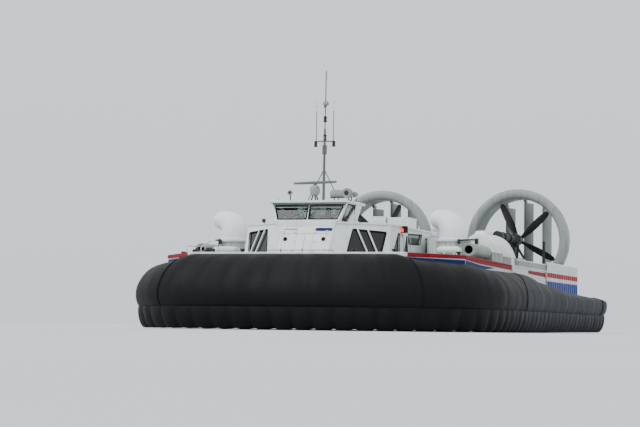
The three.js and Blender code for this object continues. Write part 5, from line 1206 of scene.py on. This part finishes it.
lugs = []
for offset in VANES.values():
    half = opening_half(offset, 0.058)
    reach = math.sqrt(2.105 ** 2 - offset ** 2)
    for low, high in ((-max(half, reach), -min(half, reach)), (min(half, reach), max(half, reach))):
        lugs.append((SHAFT_X + offset - 0.055, SHAFT_X + offset + 0.055, 12.78, 13.24, SHAFT_Z + low,
                     SHAFT_Z + high))
piece("duct_rings", both_sides(turned(DUCT_SECTION, SHAFT, AFTWARD, 128), *rings_out), duct_paint,
      replaces=["duct_port", "duct_starboard"], sharp=50)
piece("rudder_lugs", both_sides(blocks(lugs)), duct_paint, bevel=0.012)
liner = [(2.0445, 11.2), (2.038, 11.22), (2.038, 11.68), (2.0445, 11.70)]
piece("duct_liners", both_sides(turned(liner, SHAFT, AFTWARD, 96)), casing_paint)
chord_at = np.linspace(0, 2 * np.pi, 36, endpoint=False)
along_chord = 0.335 - 0.575 * np.cos(chord_at)
thickness = 0.05 * np.sin(chord_at) * np.sqrt(np.clip((0.93 - along_chord) / 1.0, 0, None)) * 1.15
HINGE_Y, VANE_REST_DEG = 13.18, -13
for place, offset in VANES.items():
    half = opening_half(offset, 0.07)
    levels = np.array([-half, -half + 0.012, -half + 0.03, 0.0, half - 0.03, half - 0.012, half])
    fullness = np.array([0.5, 0.9, 1.0, 1.0, 1.0, 0.9, 0.5])[:, None]
    vane = np.stack([thickness * fullness, along_chord + 0 * fullness, levels[:, None] + 0 * along_chord], -1)
    vane = vane @ about_z(math.radians(VANE_REST_DEG))
    stock = tube([(0, 0, -half - 0.011), (0, 0, half + 0.011)], 0.028, 14)
    points, faces = together(surface(vane, wrap_v=True, caps=True), stock)
    for side, k in (("port", 1), ("starboard", -1)):
        hung = (points + (k * (SHAFT_X + offset), HINGE_Y, SHAFT_Z), faces)
        piece(f"{side}_{place}_vane", hung, rudder_paint, f"rudder_{place}_{side}",
              replaces=[f"rudder_{place}_{side}"], sharp=50)


# Deck gear
# Cast bollards bolted round the deck's edge, and on the starboard bow an anchor winch with its guard
# hoops and lockers.

bollard = [(0.0, 0.3), (0.085, 0.3), (0.1, 0.28), (0.1, 0.25), (0.06, 0.22), (0.06, 0.03), (0.1, 0.02),
           (0.12, 0.0), (0.0, 0.0)]
bollards = [turned(bollard, (x, y, DECK_Z), UPWARD, 20)
            for x, y in ((3.7, -12.3), (5.6, -10.0), (5.62, 1.5), (5.62, 9.2), (2.2, -12.5))]
piece("bollards", both_sides(*bollards), black_paint)
reel = turned([(0, -0.25), (0.2, -0.25), (0.2, -0.22), (0.11, -0.2), (0.11, 0.2), (0.2, 0.22), (0.2, 0.25),
               (0, 0.25)], (-5.0, -9.5, 3.02), (1, 0, 0), 28)
cheeks = blocks([(-5.35, -5.25, -9.7, -9.3, ON_DECK, 3.15), (-4.75, -4.55, -9.75, -9.25, ON_DECK, 3.2)])
piece("anchor_winch", together(reel, cheeks), black_paint, bevel=0.006)
hoops = [tube(bent([(x, -9.9, 2.76), (x, -9.9, 3.28), (x + 0.5, -9.2, 3.28), (x + 0.5, -9.2, 2.76)], 0.12, 6),
              0.02, 8) for x in (-5.5, -4.9)]
locker = blocks([(-5.75, -5.45, -9.6, -8.9, ON_DECK, 3.05), (-4.45, -4.05, -9.2, -8.7, ON_DECK, 3.1)])
handle = tube([(-5.25, -9.1, 3.2), (-4.9, -9.0, 3.5), (-4.82, -8.98, 3.52)], 0.02, 8)
piece("winch_hoops_and_lockers", together(*hoops, locker, handle), pale_casing, bevel=0.01)


# Seats and helm
# Rows of seats with blue cloth cushions on moulded shells, and two padded helm chairs at a moulded
# console. The cushions are stuffed forms with a piped seam round the middle.

# Woven blue moquette, fuzzy, drawn with a 20 mm check where the real one is 6 mm.
moquette, tree, shader, position = new_material("blue moquette", Sheen_Weight=0.4, Roughness=0.9)
weave = add_node(tree, "ShaderNodeTexChecker", {"Vector": position, "Color1": linear("24375f"),
                                                "Color2": linear("2d426e"), "Scale": 50.0})
pile = add_node(tree, "ShaderNodeTexNoise", {"Vector": position, "Scale": 300.0})
raised = add_node(tree, "ShaderNodeBump", {"Height": pile.outputs["Fac"], "Strength": 0.3, "Distance": 0.002})
tree.links.new(weave.outputs["Color"], shader.inputs["Base Color"])
tree.links.new(raised.outputs[0], shader.inputs["Normal"])
# Moulded charcoal plastic on the seats' shells and the console, and vinyl of the same tone on the pads.
moulding = painted_band("charcoal moulding", "1f2225", "34383b", 0.55)


def power(value, exponent):
    """A power that keeps its value's sign: sign(x) * |x| ** exponent."""
    return np.sign(value) * np.abs(value) ** exponent


def cushion(size, crown):
    """A stuffed cushion: a rounded box |x| ** 4 + |y| ** 4 + |z| ** 2.5 = 1 by its angles, with its
    faces crowned by (1 - x ** 2) * (1 - y ** 2), and a piped seam round its edge."""
    u = np.linspace(0, 2 * np.pi, 28, endpoint=False)[None, :]
    v = np.linspace(-np.pi / 2, np.pi / 2, 13)[:, None]
    x, y = power(np.cos(v), 0.4) * power(np.cos(u), 0.5), power(np.cos(v), 0.4) * power(np.sin(u), 0.5)
    z = power(np.sin(v), 0.8) + 0 * u
    z = z * (1 + crown * np.clip(1 - x ** 2, 0, 1) * np.clip(1 - y ** 2, 0, 1))
    body = surface(np.stack([x, y, z], -1) * size, wrap_v=True)
    ring = np.stack([power(np.cos(u[0]), 0.5), power(np.sin(u[0]), 0.5), 0 * u[0]], -1) * size
    return together(body, tube(ring * 1.002, 0.007, 6, closed=True))


def placed(shape, centre, lean=0.0):
    """The shape tipped back about X by an angle in degrees and moved to a centre."""
    points, faces = shape
    c, s = math.cos(math.radians(lean)), math.sin(math.radians(lean))
    return points @ np.array([[1, 0, 0], [0, c, s], [0, -s, c]]) + centre, faces


base_pad, back_pad = cushion((0.225, 0.24, 0.065), 0.35), cushion((0.22, 0.33, 0.06), 0.3)
SEAT_COLUMNS = (-2.25, -1.75, -1.25, -0.75, 0.75, 1.25, 1.75, 2.25)
SEAT_ROWS, FIRST_ROW_Y, ROW_PITCH = 11, -8.3, 0.98
seat_places = [(x, FIRST_ROW_Y + ROW_PITCH * row) for row in range(SEAT_ROWS) for x in SEAT_COLUMNS]
pads = []
for x, y in seat_places:
    pads += [placed(base_pad, (x, y + 0.25, 2.40), 4), placed(back_pad, (x, y + 0.50, 2.80), 82)]
seat_pads = piece("seat_cushions", together(*pads), moquette, replaces=["cabin_seats"],
                  sharp=60)
# Each seat has a pan, a back shell, an armrest panel and a leg.
shells = blocks([limits for x, y in seat_places for limits in (
    (x - 0.235, x + 0.235, y + 0.02, y + 0.5, 2.30, 2.35),
    (x - 0.23, x + 0.23, y + 0.56, y + 0.585, 2.36, 3.1),
    (x - 0.25, x - 0.235, y + 0.05, y + 0.5, 2.35, 2.58),
    (x - 0.02, x + 0.02, y + 0.1, y + 0.45, 1.99, 2.30))])
piece("seat_shells", shells, moulding, bevel=0.004)
covering = blocks([(-2.55, 2.55, -8.6, 2.48, 1.951, 1.99)])
piece("cabin_floor_covering", covering, gasket_rubber, bevel=0.003)
helm_base, helm_back = cushion((0.25, 0.25, 0.07), 0.35), cushion((0.23, 0.36, 0.065), 0.3)
headrest = cushion((0.13, 0.11, 0.05), 0.3)
HELM_CHAIRS = (-0.45, 0.45)
helm_pads = []
for x in HELM_CHAIRS:
    helm_pads += [placed(helm_base, (x, -10.0, 3.56), 3), placed(helm_back, (x, -9.79, 3.97), 82),
                  placed(headrest, (x, -9.76, 4.46), 82)]
pads = piece("helm_cushions", together(*helm_pads), moulding, replaces=["helm"], sharp=60)
post = [(0, 0.45), (0.05, 0.45), (0.05, 0.03), (0.2, 0.02), (0.22, 0.0), (0, 0)]
helm_posts = [turned(post, (x, -10.0, 3.05), UPWARD, 20) for x in HELM_CHAIRS]
DESK = np.array([
    # y and height round the console's section
    (-11.2, 3.05), (-11.24, 4.28), (-11.15, 4.38), (-10.98, 4.38), (-10.78, 3.95), (-10.78, 3.8),
    (-10.95, 3.6), (-10.95, 3.05),
])
desk = np.stack([np.column_stack([np.full(8, x), DESK]) for x in (-0.9, 0.9)])
console = surface(desk, wrap_v=True, caps=True)
plinth = blocks([(-0.85, 0.85, -11.2, -9.3, 1.951, 3.05)])
piece("helm_console", together(console, plinth, *helm_posts), moulding, bevel=0.01)
